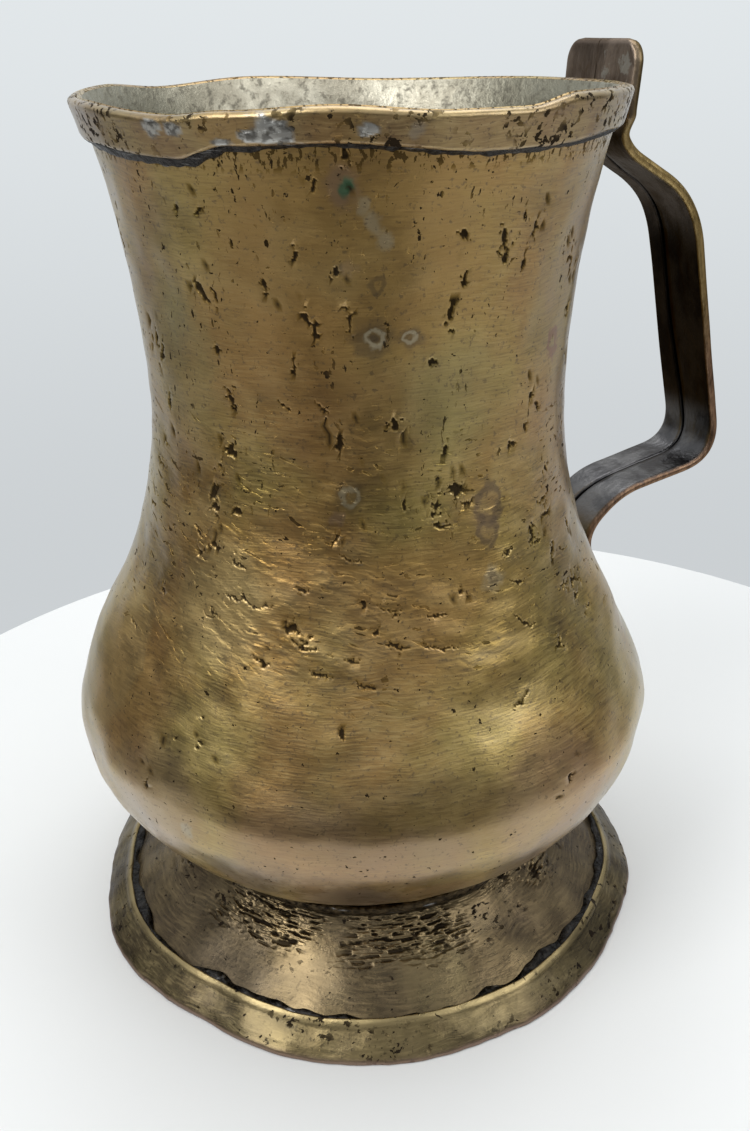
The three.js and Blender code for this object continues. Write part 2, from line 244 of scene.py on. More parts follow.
def read_smoothly(table, value):
    """What the rows of a table say at a value, eased from one row to the next."""
    for (start, *low), (end, *high) in zip(table, table[1:]):
        if start <= value <= end:
            share = eased(value, start, end)
            return [first + (second - first) * share for first, second in zip(low, high)]
    return table[-1][1:]


def wave(table, place):
    """A height read from such a table at a place's angle, in metres."""
    return read_smoothly(table, math.degrees(math.atan2(place.y, place.x)))[0] / 1000


def unround(place):
    """The hammer's unevenness that every turned piece shares: a foot like a blunt polygon and a wavy lip."""
    stretch = 1 + wave(FOOT_WAVE, place) / FOOT_RADIUS * math.exp(-max(0.0, place.z) / 0.025)
    lift = wave(LIP_WAVE, place) * max(0.0, place.z / LIP_HEIGHT) ** 12
    return Vector((place.x * stretch, place.y * stretch, place.z + lift))


def finished(name, made, materials, slot, *nodes):
    """Puts a piece on the vessel's axis, gives it its materials and joins it to the frame."""
    bmesh.ops.translate(made, vec=axis, verts=made.verts)
    data = bpy.data.meshes.new(name)
    made.to_mesh(data)
    made.free()
    for polygon in data.polygons:
        polygon.use_smooth = True
    for material in materials:
        data.materials.append(material)
    piece = bpy.data.objects.new(name, data)
    bpy.context.scene.collection.objects.link(piece)
    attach(piece, "root")
    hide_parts(*nodes)
    return piece


outer = sweep(bottom_corners, 38) + sweep(shoulder_corners, 60)[1:] + sweep(neck_corners, 40)[1:]
inner = thinned(beside(outer, -WALL), 30)
lip_top = (outer[-1] + inner[-1]) / 2 + Vector((0.0002, 0, 0.0006))
foot_edge = (outer[0] + inner[0]) / 2 + Vector((-0.0003, 0, -0.0003))
vessel = turned([foot_edge, *outer, lip_top, *reversed(inner)], 288)

# Dents, each with its angle from the handle, height, half width, half height and depth. A swelling
# has a depth below zero.
DENTS = (
    (-168, 165, 16, 20, 0.9), (-172, 128, 14, 12, 0.7), (-176, 105, 18, 12, 0.8), (-160, 180, 12, 8, 0.5),
    (-150, 60, 18, 9, 0.7), (-128, 72, 20, 10, 0.6), (-88, 83, 14, 7, 0.5), (-58, 64, 14, 12, 0.3),
    (-57, 100, 14, 14, 0.3), (-100, 148, 22, 14, 0.4), (-62, 160, 12, 18, 0.5), (-110, 44, 22, 8, 0.5),
    (-135, 118, 16, 8, 0.5), (20, 75, 20, 14, 0.8), (80, 90, 24, 16, 0.7), (120, 60, 18, 14, 0.9),
    (150, 140, 20, 18, 0.6), (60, 150, 18, 16, 0.6), (172, 86, 26, 17, -1.5), (173, 78, 26, 20, -1.6),
    (-41, 89, 16, 13, -1.5), (-178, 60, 12, 9, 0.7), (-164, 53, 12, 8, 0.6), (-147, 47, 15, 7, 0.5),
    (-64, 52, 12, 9, 0.3), (-48, 58, 11, 10, 0.5),
)


def across(angle, place):
    """The way round the vessel from an angle in degrees to a place, in metres."""
    turn = math.atan2(place.y, place.x) - math.radians(angle)
    turn = (turn + math.pi) % math.tau - math.pi
    return turn * math.hypot(place.x, place.y)


def hammered(place):
    """How far the outer face stands out from the drawn shape at a place, in metres."""
    hold = eased(place.z, 0.020, 0.034) * (1 - eased(place.z, 0.180, 0.190))
    broad = noise.noise(place * 22) * 0.0006
    marks = noise.voronoi(place * 95)[0][0]
    facets = -0.00014 * (1 - min(1.0, marks * 1.4) ** 2)
    grain = noise.noise(place * 170) * 0.00017
    shoulder = eased(place.z, 0.070, 0.090) * (1 - eased(place.z, 0.125, 0.150))
    falling = place.z + 0.25 * place.x - 0.433 * place.y
    folds = noise.noise(Vector((place.x * 110, place.y * 110, falling * 300))) * 0.00021 * shoulder
    total = broad + facets + grain + folds
    for angle, rise, half_width, half_height, depth in DENTS:
        rise_share = (place.z - rise / 1000) / (half_height / 1000)
        if abs(rise_share) < 1:
            way = across(angle, place) / (half_width / 1000)
            if abs(way) < 1:
                total -= depth / 1000 * (1 - rise_share ** 2) ** 2 * (1 - way ** 2) ** 2
    return total * hold


# The pits and cracks that catch the eye, at whole degrees from the handle and millimetres up. A pit
# has its half width, half height and lean to the right, a crack its half length and rise.
PITS = (
    (-123, 185, 0.4, 1.2, 5), (-117, 189, 0.9, 0.7, 0), (-152, 166, 1.0, 1.0, -35),
    (-135, 168, 0.4, 1.3, -12),
    (-130, 153, 0.3, 1.5, 0), (-117, 161, 0.3, 1.8, 0), (-95, 162, 0.6, 1.5, 12), (-92, 168, 0.4, 1.7, 4),
    (-93, 176, 0.7, 1.1, -30), (-83, 175, 0.6, 1.7, 5), (-82, 171, 0.6, 1.5, -3), (-78, 178, 0.4, 1.5, 4),
    (-74, 175, 0.4, 1.5, 10), (-76, 169, 0.6, 1.2, 0), (-147, 145, 0.7, 1.4, -10), (-171, 140, 0.5, 1.5, 0),
    (-120, 138, 0.8, 1.2, -10), (-148, 134, 0.8, 1.2, -30), (-107, 141, 0.7, 1.1, 0), (-70, 136, 0.4, 1.2, 0),
    (-68, 142, 1.0, 0.8, -30), (-154, 125, 0.9, 1.7, 0), (-153, 122, 0.8, 1.2, -15), (-147, 122, 1.0, 0.8, 0),
    (-92, 127, 1.2, 1.2, -30), (-97, 124, 0.7, 1.4, 8), (-153, 114, 1.0, 0.6, 0), (-62, 115, 1.3, 0.5, -5),
    (-69, 113, 0.7, 1.1, 30), (-131, 101, 1.2, 1.0, 20), (-120, 82, 0.8, 0.6, 10), (-148, 75, 0.6, 0.5, 0),
    (-62, 107, 0.7, 1.3, 20), (-56, 98, 0.9, 0.7, 0), (-158, 63, 0.6, 1.1, 0), (-77, 65, 0.4, 0.9, 20),
)
CRACKS = (
    (-133, 145, 1.7, -35), (-124, 145, 2.1, -38), (-89, 124, 1.8, 12), (-96, 120, 2.0, -12),
    (-63, 119, 2.6, 14), (-150, 101, 1.9, -25), (-128, 98, 3.2, -15), (-137, 94, 2.2, -12),
    (-124, 93, 2.8, -8), (-109, 105, 2.4, -12), (-99, 103, 2.2, 0), (-99, 97, 4.0, -14),
    (-77, 97, 3.4, -30), (-115, 91, 2.4, -18), (-83, 83, 2.5, 25), (-141, 105, 2.8, -25),
    (-118, 115, 2.4, -15), (-145, 112, 2.4, -28), (-108, 98, 2.4, -12), (-158, 116, 1.9, -35),
)
flaws = list(PITS + CRACKS)

# The rest are strewn: leaning rows of upright pits on the neck, cracks round the shoulder, specks anywhere
strewn = random.Random(16)
for row in range(17):
    angle = -172 + row * 21 + strewn.uniform(-7, 7)
    rise = strewn.uniform(128, 180)
    for pit in range(strewn.randint(2, 4)):
        way, up = strewn.gauss(0, 3), strewn.gauss(0, 5)
        half_width, half_height = strewn.uniform(0.3, 0.6), strewn.uniform(0.6, 1.5)
        flaws.append((angle + way, rise + up, half_width, half_height, strewn.gauss(0, 12)))
for crack in range(34):
    angle, rise = strewn.uniform(-180, 180), strewn.triangular(84, 134, 100)
    flaws.append((angle, rise, strewn.uniform(1.5, 2.6), strewn.gauss(-10, 12)))
for speck in range(62):
    angle, rise, half_width = strewn.uniform(-180, 180), strewn.uniform(48, 182), strewn.uniform(0.3, 0.7)
    flaws.append((angle, rise, half_width, half_width * strewn.uniform(0.6, 1.3), strewn.gauss(0, 20)))

# the flaws that can reach a place, by the shelf that it is on: each shelf is so many millimetres high
SHELF = 4
flaws_on = {}
for flaw in flaws:
    for shelf in range(int(flaw[1] // SHELF) - 1, int(flaw[1] // SHELF) + 2):
        flaws_on.setdefault(shelf, []).append(flaw)


def flaws_near(place):
    """Those of the flaws that can reach a place, each with the way to the place round the vessel and up."""
    for flaw in flaws_on.get(int(place.z * 1000 / SHELF), ()):
        yield flaw, across(flaw[0], place) * 1000, place.z * 1000 - flaw[1]


def flawed(place):
    """How dark the pits and cracks are at a place, 0 to 1, and how far they lower it in metres."""
    deepest = 0.0
    down = 0.0
    for flaw, way, up in flaws_near(place):
        if abs(way) > 5 or abs(up) > 5:
            continue
        lean = math.radians(flaw[-1])
        if len(flaw) == 5:
            wide = (way * math.cos(lean) - up * math.sin(lean)) / flaw[2]
            tall = (up * math.cos(lean) + way * math.sin(lean)) / flaw[3]
            jagged = 1.3 * noise.noise(place * 900) + 0.6 * noise.noise(place * 2100)
            distance = math.hypot(wide, tall) * (1 + jagged) - 0.15
            depth = 0.22 + 0.25 * min(flaw[2], flaw[3])
        else:
            along = (way * math.cos(lean) + up * math.sin(lean)) / flaw[2]
            if abs(along) > 1:
                continue
            crescent = 0.20 * flaw[2] * (1 - along ** 2)
            jagged = 0.7 * noise.noise(place * 900) + 0.4 * noise.noise(place * 2300)
            away = up * math.cos(lean) - way * math.sin(lean) + crescent + jagged
            distance = abs(away) / (0.30 * (1 - along ** 2) + 0.08)
            depth = 0.24
        deepest = max(deepest, 1 - eased(distance, 0.60, 1.02))
        down = max(down, (1 - eased(distance, 0.35, 0.95)) * depth / 1000)
    return deepest, down


def touched(place):
    """Whether a pit or a crack comes near a face with its middle at a place."""
    for flaw, way, up in flaws_near(place):
        half_height = flaw[3] if len(flaw) == 5 else flaw[2] * abs(math.sin(math.radians(flaw[3]))) + 0.4
        if abs(up) < half_height + 0.8 and abs(way) < flaw[2] + 0.7:
            return True
    return False


flawed_edges = set()
for face in vessel.faces:
    middle = face.calc_center_median()
    if face.normal.dot(Vector((middle.x, middle.y, 0))) > 0 and touched(middle):
        flawed_edges.update(face.edges)
bmesh.ops.subdivide_edges(vessel, edges=list(flawed_edges), cuts=4, use_grid_fill=True)
pit_layer = vessel.verts.layers.float.new("pit")
wear_and_highlight_layer = vessel.verts.layers.float.new("wear_and_highlight")
vessel.normal_update()
outward = {vert: vert.normal.copy() for vert in vessel.verts}
for vert in vessel.verts:
    away = outward[vert]
    level = Vector((vert.co.x, vert.co.y, 0)).normalized()
    facing_out = away.dot(level)
    raised = hammered(vert.co)
    if facing_out > 0 or vert.co.z > 0.19:
        depth_share, down = flawed(vert.co)
        vert[pit_layer] = depth_share
        vert[wear_and_highlight_layer] = max(-0.35, min(0.45, raised * 1000))
        vert.co = vert.co + away * (raised - down)
    else:
        vert.co = vert.co - away * raised
    vert.co = unround(vert.co)
for face in vessel.faces:
    middle = face.calc_center_median()
    face.material_index = 1 if face.normal.dot(Vector((middle.x, middle.y, 0)).normalized()) < -0.5 else 0


def times(tree, *values):
    return chained(tree, "MULTIPLY", *values)


def added(tree, *values):
    return chained(tree, "ADD", *values)


def most(tree, *values):
    """The highest of some values."""
    return chained(tree, "MAXIMUM", *values)


def vectors(tree, operation, first, second):
    """One operation on two vectors."""
    return node(tree, "ShaderNodeVectorMath", {0: first, 1: second}, operation=operation).outputs[0]


def object_place(tree):
    return node(tree, "ShaderNodeTexCoord").outputs["Object"]


def bent(tree, size, amount, shift=0.0):
    """The piece's own place, pushed about by noise of a size, so that marks drawn on it bend."""
    place = object_place(tree)
    placed = node(tree, "ShaderNodeMapping", {
        "Vector": place, "Scale": (1 / size, 1 / size, 1 / size), "Location": (shift, shift, shift),
    })
    push = node(tree, "ShaderNodeTexNoise", {"Vector": placed.outputs[0], "Scale": 1.0, "Detail": 2.0})
    centred = vectors(tree, "SUBTRACT", push.outputs["Color"], (0.5, 0.5, 0.5))
    return vectors(tree, "ADD", place, vectors(tree, "MULTIPLY", centred, (amount, amount, amount)))


def marks(tree, across_size, up_size, detail=4.0, roughness=0.5, shift=0.0, place=None):
    """Noise whose features have a size across and a size up, in metres, from the piece's own place."""
    place = object_place(tree) if place is None else place
    placed = node(tree, "ShaderNodeMapping", {
        "Vector": place, "Scale": (1 / across_size, 1 / across_size, 1 / up_size),
        "Location": (shift, shift * 2, shift * 3),
    })
    grain = node(tree, "ShaderNodeTexNoise", {
        "Vector": placed.outputs[0], "Scale": 1.0, "Detail": detail, "Roughness": roughness,
    })
    return grain.outputs["Fac"]


def flecks(tree, across_size, up_size, share, shift=0.0, place=None):
    """Small irregular marks: the peaks of a noise. The share sets how much of the face they take."""
    peaks = marks(tree, across_size, up_size, 3, 0.55, shift, place)
    return ramp(tree, peaks, 0.72 - share, 0.735 - share)


def near(tree, angle, rise, radius, reach, flat=1.0):
    """A share of the way out from a spot with a ragged outline, 1 at its reach. The spot is given by its
    angle, its height and its distance from the axis in millimetres, and flat presses it down."""
    spot = axis + Matrix.Rotation(math.radians(angle), 3, "Z") @ Vector((radius / 1000, 0, 0))
    spot.z = rise / 1000
    away = vectors(tree, "SUBTRACT", bent(tree, 0.0024, min(0.0040, reach / 700)), tuple(spot))
    pressed = vectors(tree, "MULTIPLY", away, (1, 1, flat))
    length = node(tree, "ShaderNodeVectorMath", {0: pressed}, operation="LENGTH")
    return chained(tree, "DIVIDE", length.outputs["Value"], reach / 1000)


def attribute(tree, name):
    return node(tree, "ShaderNodeAttribute", attribute_name=name).outputs["Fac"]


def metal(name):
    """A new metal finish: its material, its node tree and its shader."""
    material = bpy.data.materials.new(name)
    material.use_nodes = True
    shader = material.node_tree.nodes["Principled BSDF"]
    shader.inputs["Metallic"].default_value = 1.0
    return material, material.node_tree, shader


def joined(tree, shader, colour, rough, relief):
    """Gives a shader its colour, its roughness and its relief, which is a height in metres."""
    bumped = node(tree, "ShaderNodeBump", {"Height": relief, "Strength": 1.0, "Distance": 1.0})
    for name, value in (("Base Color", colour), ("Roughness", rough), ("Normal", bumped.outputs["Normal"])):
        tree.links.new(value, shader.inputs[name])


def aged_brass(name, tones, wear, spots=(), cloud=0.030, film=0.75, dullness=0.31):
    """Worn brass: two tones in clouds, a bright one along the strokes and a dark one in the hollows.
    The wear gives a mask of pits and cracks and its height. A spot has its angle, height, distance from
    the axis, reach, flatness, hollow, colour and strength. The film is a thin layer of wax and dust
    that greys the metal where it is seen at a slant."""
    material, tree, shader = metal(name)
    main, second, bright, dull = tones
    flow = bent(tree, 0.020, 0.0045, 2)
    cloudy = marks(tree, cloud, cloud * 1.3, 4, 0.55)
    smoky = marks(tree, 0.007, 0.008, 5, 0.62, 3)
    swell = marks(tree, 0.008, 0.006, 1, 0.4, 6)
    speckle = marks(tree, 0.0010, 0.0009, 3, 0.6, 5)
    strokes = marks(tree, 0.009, 0.00075, 3, 0.60, 1, flow)
    fine_strokes = marks(tree, 0.0046, 0.00034, 2, 0.6, 2, flow)
    wear_and_highlight = attribute(tree, "wear_and_highlight")
    colour = mixed(tree, ramp(tree, cloudy, 0.34, 0.66), main, second)
    for source, low, high, share, tint in (
        (smoky, 0.50, 0.66, 0.18, bright), (smoky, 0.48, 0.32, 0.15, dull),
        (strokes, 0.50, 0.70, 0.12, bright), (fine_strokes, 0.49, 0.33, 0.30, dull),
        (fine_strokes, 0.51, 0.66, 0.24, bright),
    ):
        colour = mixed(tree, ramp(tree, source, low, high, 0, share), colour, tint)
    for angle, rise, radius, reach, flat, hollow, tint, strength in spots:
        away = near(tree, angle, rise, radius, reach, flat)
        share = ramp(tree, away, 1.0, 0.75 if hollow else 0.45, 0, strength)
        if hollow:
            share = times(tree, share, ramp(tree, away, hollow - 0.15, hollow + 0.10))
        colour = mixed(tree, share, colour, tint)
    # Where the wear value runs highest, on the foot band's top ridge and the ledges round the foot's pits,
    # the bright tone is a painted highlight. Below that the value is wear: brighter on rises, duller in
    # hollows.
    for source, low, high, share, tint in (
        (speckle, 0.58, 0.68, 0.55, dull), (wear_and_highlight, 0.05, 0.35, 0.30, bright),
        (wear_and_highlight, -0.10, -0.45, 0.22, dull), (wear_and_highlight, 0.60, 0.90, 0.8, bright),
    ):
        colour = mixed(tree, ramp(tree, source, low, high, 0, share), colour, tint)
    small, height = wear(tree)
    dark = most(tree, small, attribute(tree, "pit"))
    colour = mixed(tree, times(tree, dark, 0.93), colour, (0.018, 0.012, 0.008))
    rough = added(
        tree, ramp(tree, smoky, 0.3, 0.7, dullness, dullness + 0.10),
        ramp(tree, fine_strokes, 0.3, 0.7, -0.04, 0.05), times(tree, dark, 0.35),
    )
    relief = added(
        tree, times(tree, fine_strokes, 0.000034), times(tree, strokes, 0.000018), height,
        times(tree, swell, 0.00017), times(tree, speckle, 0.00006),
    )
    joined(tree, shader, colour, rough, relief)
    bare = ramp(tree, marks(tree, 0.016, 0.013, 4, 0.6, 14), 0.34, 0.66, 0.80, 0.98)
    tree.links.new(bare, shader.inputs["Metallic"])
    tree.links.new(ramp(tree, dark, 0.0, 0.5, film, 0.0), shader.inputs["Coat Weight"])
    shader.inputs["Coat Roughness"].default_value = 0.28
    shader.inputs["Coat IOR"].default_value = 1.7
    shader.inputs["Specular Tint"].default_value = (0.70, 0.72, 0.78, 1)
    return material


def vessel_wear(tree):
    """Upright pits in rows on the neck, slanting flakes and cracks on the shoulder, grime under the
    mouth band and stains low on the bulb."""
    rise = node(tree, "ShaderNodeSeparateXYZ", {0: object_place(tree)}).outputs["Z"]
    flow = bent(tree, 0.010, 0.0040, 5)
    on_neck = ramp(tree, rise, 0.112, 0.132)
    on_shoulder = times(tree, ramp(tree, rise, 0.150, 0.126), ramp(tree, rise, 0.080, 0.100))
    rows = ramp(tree, marks(tree, 0.008, 0.034, 3, 0.6, 7), 0.47, 0.58)
    patches = ramp(tree, marks(tree, 0.016, 0.012, 3, 0.6, 8), 0.45, 0.58)
    small = most(
        tree,
        times(tree, flecks(tree, 0.0011, 0.0026, 0.085, 2, flow), on_neck, rows),
        times(tree, flecks(tree, 0.0034, 0.0014, 0.060, 4, flow), on_shoulder, patches),
        flecks(tree, 0.0016, 0.0013, 0.030, 12, flow),
    )
    blotches = ramp(tree, marks(tree, 0.0075, 0.0045, 4, 0.65, 20), 0.46, 0.62)
    stains = times(tree, ramp(tree, rise, 0.056, 0.044), blotches, 0.30)
    grime = times(tree, ramp(tree, rise, 0.1862, 0.1890), flecks(tree, 0.0009, 0.0018, 0.17, 16, flow))

    # a flake ends where the noise falls off steeply towards the piece's foot
    parts = node(tree, "ShaderNodeSeparateXYZ", {0: flow})
    slanting = node(tree, "ShaderNodeCombineXYZ", {
        "X": parts.outputs["X"], "Y": parts.outputs["Y"], "Z": leaning(tree, flow, (0.15, -0.26, 1.0)),
    }).outputs[0]
    below = vectors(tree, "ADD", slanting, (0, 0, -0.00055))
    flakes = marks(tree, 0.0068, 0.0023, 2, 0.50, 9, slanting)
    flakes_below = marks(tree, 0.0068, 0.0023, 2, 0.50, 9, below)
    fall = chained(tree, "SUBTRACT", flakes_below, flakes)
    scaly = ramp(tree, marks(tree, 0.014, 0.009, 3, 0.6, 11), 0.42, 0.60, 0.12, 1.0)
    flaked = times(tree, most(tree, on_shoulder, ramp(tree, rise, 0.092, 0.106, 0, 0.08)), scaly)
    breaks = ramp(tree, marks(tree, 0.0040, 0.0020, 3, 0.6, 10, slanting), 0.50, 0.57)
    steep = ramp(tree, fall, 0.050, 0.090)
    cracks = times(tree, steep, ramp(tree, flakes_below, 0.50, 0.56), flaked, breaks)

    dark = most(tree, small, times(tree, cracks, 0.9), times(tree, grime, 0.8), stains)
    lifted = times(tree, ramp(tree, flakes, 0.34, 0.70), flaked, 0.00015)
    return dark, added(tree, times(tree, small, -0.00032), times(tree, cracks, -0.00014), lifted)


olive = (0.462, 0.342, 0.094)
brown = (0.425, 0.243, 0.062)
gold = (0.700, 0.530, 0.225)
umber = (0.115, 0.079, 0.036)
pink = (0.360, 0.235, 0.145)
silver = (0.520, 0.455, 0.300)
orange = (0.500, 0.262, 0.075)
green = (0.330, 0.320, 0.120)
verdigris = (0.08, 0.20, 0.10)
rust = (0.30, 0.10, 0.05)
pale_painted_reflection = (0.62, 0.52, 0.38)
VESSEL_SPOTS = (
    (-115, 180, 51, 34, 0.8, 0, brown, 0.65), (-134, 165, 48, 20, 0.7, 0, brown, 0.35),
    (-92, 100, 54, 24, 0.9, 0, brown, 0.35), (-115, 139, 47, 18, 1, 0, orange, 0.35),
    (-126, 114, 49, 20, 1.2, 0, orange, 0.35), (-170, 80, 63, 20, 0.8, 0, orange, 0.5),
    # The wide, flattened dark brown spot at -105 degrees darkens a band across the front of the bulb's widest
    # part.
    (-100, 108, 51, 18, 1.3, 0, orange, 0.3), (-105, 64, 71, 34, 2.6, 0, (0.19, 0.125, 0.045), 0.55),
    (-150, 101, 52, 15, 0.9, 0, gold, 0.5), (-91, 145, 47, 16, 1, 0, green, 0.3),
    (-163, 150, 47, 14, 0.7, 0, green, 0.3), (-112, 158, 48, 5.4, 1.1, 0, umber, 0.6),
    (-112, 158, 48, 2.4, 1, 0.5, silver, 0.85), (-112, 158, 48, 1.2, 1, 0, umber, 0.8),
    (-104, 158, 48, 3, 1.1, 0, umber, 0.55), (-104, 158, 48, 1.5, 1, 0.5, silver, 0.8),
    (-118, 127, 47, 3.6, 0.8, 0, umber, 0.5), (-118, 127, 47, 2, 0.8, 0.5, silver, 0.55),
    (-121, 123, 48, 2, 1, 0, pink, 0.6), (-83, 122, 48, 4, 0.7, 0.55, umber, 0.7),
    (-84, 117, 49, 3.4, 0.8, 0.5, umber, 0.7), (-84, 120, 48, 5, 0.6, 0, pink, 0.25),
    (-84, 107, 51, 3.2, 0.8, 0, silver, 0.45), (-84, 107, 51, 1.7, 0.7, 0, umber, 0.6),
    (-118, 185, 52, 4, 0.8, 0, pink, 0.6), (-117, 185, 52, 1.8, 0.7, 0, verdigris, 0.95),
    (-114, 182, 51, 1.6, 0.6, 0, silver, 0.55), (-112, 179, 51, 1.8, 0.6, 0, silver, 0.6),
    (-110, 176, 50, 2.3, 0.8, 0, silver, 0.6), (-119, 171, 49, 2.2, 1, 0, umber, 0.5),
    (-111, 168, 49, 2, 1, 0.4, umber, 0.5), (-117, 171, 49, 2.4, 1, 0, pink, 0.4),
    (-58, 151, 47, 2.8, 0.7, 0.4, rust, 0.7), (-149, 56, 70, 2.4, 1, 0, (0.50, 0.46, 0.30), 0.9),
    (-127, 57, 70, 22, 1.4, 0, pink, 0.45), (-107, 55, 70, 16, 1.4, 0, pink, 0.45),
    (-156, 61, 70, 18, 1, 0, pink, 0.45), (-80, 61, 70, 20, 1, 0, pink, 0.5),
    (-119, 40, 64, 15, 1.4, 0, (0.20, 0.13, 0.10), 0.7), (-102, 40, 64, 12, 1.5, 0, (0.46, 0.25, 0.09), 0.7),
    (-138, 46, 66, 12, 1.4, 0, (0.28, 0.20, 0.14), 0.6), (-86, 44, 65, 10, 1.4, 0, (0.24, 0.16, 0.11), 0.6),
    # The two pale grey-gold patches low on the bulb, on its right and its left, are painted reflections.
    (-63, 45, 66, 16, 1.2, 0, pale_painted_reflection, 0.6), (-160, 52, 69, 15, 1.2, 0, pale_painted_reflection, 0.45),
)
patina = aged_brass("patinated_brass", (olive, brown, gold, umber), vessel_wear, VESSEL_SPOTS)

tinned, tree, shader = metal("tinned_inside")
cloud = marks(tree, 0.012, 0.012, 5, 0.6)
mottle = marks(tree, 0.0022, 0.0022, 5, 0.66, 3)
colour = mixed(tree, ramp(tree, cloud, 0.38, 0.62), (0.66, 0.62, 0.50), (0.42, 0.385, 0.300))
# The inside darkens round two places under the rim, at 2 and 138 degrees from the handle.
for angle in (2, 138):
    darker_side = ramp(tree, near(tree, angle, 190, 50, 44), 1.0, 0.3, 0, 0.8)
    colour = mixed(tree, darker_side, colour, (0.23, 0.22, 0.165))
colour = mixed(tree, ramp(tree, mottle, 0.50, 0.66, 0, 0.62), colour, (0.13, 0.12, 0.095))
joined(tree, shader, colour, ramp(tree, mottle, 0.3, 0.7, 0.35, 0.6), times(tree, mottle, 0.0004))
finished("vessel", vessel, (patina, tinned), "olive_brass", "body_shell")

# Bottom of the vessel: a slightly domed brass disc, soldered inside the sheet's turned-in edge.
# It shows only from above, through the mouth, and from below, inside the foot.
disc_radius = 40.6
disc_rise = 23.3
disc_dome = 1.6
disc_thickness = 0.0012
disc_top = [
    Vector((radius, 0, disc_rise + disc_dome * (1 - (radius / disc_radius) ** 2))) / 1000
    for radius in range(0, 40, 3)
]
disc_top.append(Vector((disc_radius, 0, disc_rise - 0.2)) / 1000)
disc_under = [point - Vector((0, 0, disc_thickness)) for point in disc_top]
disc = turned([*disc_top, *reversed(disc_under)], 96)
for vert in disc.verts:
    vert.co.z += noise.noise(vert.co * 90) * 0.00025
    vert.co = unround(vert.co)
for face in disc.faces:
    face.material_index = 1 if face.normal.z > 0 else 0


def disc_wear(tree):
    """Scattered pits."""
    pits = flecks(tree, 0.0024, 0.0024, 0.03, 6)
    return pits, times(tree, pits, -0.0004)


disc_brass = aged_brass("disc_brass", (olive, brown, gold, umber), disc_wear)
finished("bottom_disc", disc, (disc_brass, tinned), "olive_brass", "base_disc")

# Solder in the corner between the disc and the vessel's turned-in edge: dull grey tin-lead, run in
# from below. It is hidden inside the foot.


def solder(name, low, high):
    """Dull grey tin-lead: lumpy, darker in its hollows, with a few brighter scrapes."""
    material, tree, shader = metal(name)
    lumps = marks(tree, 0.0016, 0.0012, 4, 0.6, 4)
    scrapes = marks(tree, 0.006, 0.0008, 3, 0.6, 8)
    colour = mixed(tree, ramp(tree, lumps, 0.35, 0.68), low, high)
    colour = mixed(tree, ramp(tree, scrapes, 0.60, 0.72, 0, 0.7), colour, (0.36, 0.36, 0.36))
    joined(tree, shader, colour, ramp(tree, lumps, 0.3, 0.7, 0.26, 0.6), times(tree, lumps, 0.0005))
    return material


def in_millimetres(*points):
    """The points of a section, each a distance from the axis and a height."""
    return [Vector((reach, 0, rise)) / 1000 for reach, rise in points]


disc_solder = turned(in_millimetres(
    (37.8, 21.8), (38.6, 20.9), (39.8, 20.8), (40.4, 21.4), (40.4, 21.9), (39.0, 22.0),
), 160)
for vert in disc_solder.verts:
    vert.co.z -= abs(noise.noise(vert.co * 260)) * 0.0004
    vert.co = unround(vert.co)
dark_solder = solder("dark_solder", (0.015, 0.014, 0.014), (0.068, 0.065, 0.063))
finished("bottom_solder", disc_solder, (dark_solder,), "grey_solder", "base_disc_solder")

# Mouth band: a brass strip soldered round the outside of the lip. Its lower edge was cut by eye
# and waves, and its top is worn round into the lip.
BAND_EDGE = (
    (-180, 190), (-150, 189), (-138, 191.5), (-119, 192), (-90, 190), (-75, 190), (-55, 191), (20, 189.5),
    (95, 191), (125, 190), (150, 190.5), (180, 190),
)
BAND_LOW = 0.1904


def vessel_radius(rise):
    """The drawn vessel's outer radius at a height."""
    for below, above in zip(outer, outer[1:]):
        if below.z <= rise <= above.z:
            return below.x + (above.x - below.x) * (rise - below.z) / (above.z - below.z)
    return outer[-1].x


def on_band(rise, offset):
    """A point of the band's section: its height over the drawn lower edge and its offset, in millimetres."""
    up = BAND_LOW + rise / 1000
    return Vector((vessel_radius(min(up, LIP_HEIGHT)) + offset / 1000, 0, up))


# Drops of solder left on the band, each with its angle, height, half width, half height and thickness
DROPS = (
    (-129, 194, 4.2, 2.0, 0.55), (-133, 193, 2.4, 1.3, 0.35), (-153, 194, 2.2, 1.6, 0.25),
    (-148, 194, 2.0, 1.4, 0.2), (-113, 194, 1.5, 1.1, 0.25), (-139, 192, 2.0, 0.8, 0.25),
    (60, 193, 2.6, 1.4, 0.35), (115, 193, 1.8, 1.2, 0.3),
)


def dropped(place):
    """How far a place is covered by a drop of solder, 0 to 1, and the drop's thickness there in metres."""
    cover = 0.0
    height = 0.0
    for angle, rise, half_width, half_height, thickness in DROPS:
        way = across(angle, place) * 1000 / half_width
        up = (place.z * 1000 - rise) / half_height
        distance = math.hypot(way, up) * (1 + 0.7 * noise.noise(place * 420))
        cover = max(cover, 1 - eased(distance, 0.85, 1.0))
        height = max(height, thickness / 1000 * (1 - eased(distance, 0.35, 1.0)))
    return cover, height


def moved_to(place, reach, rise):
    """A place moved straight in or out from the axis and up or down."""
    stretch = reach / math.hypot(place.x, place.y)
    return Vector((place.x * stretch, place.y * stretch, rise))


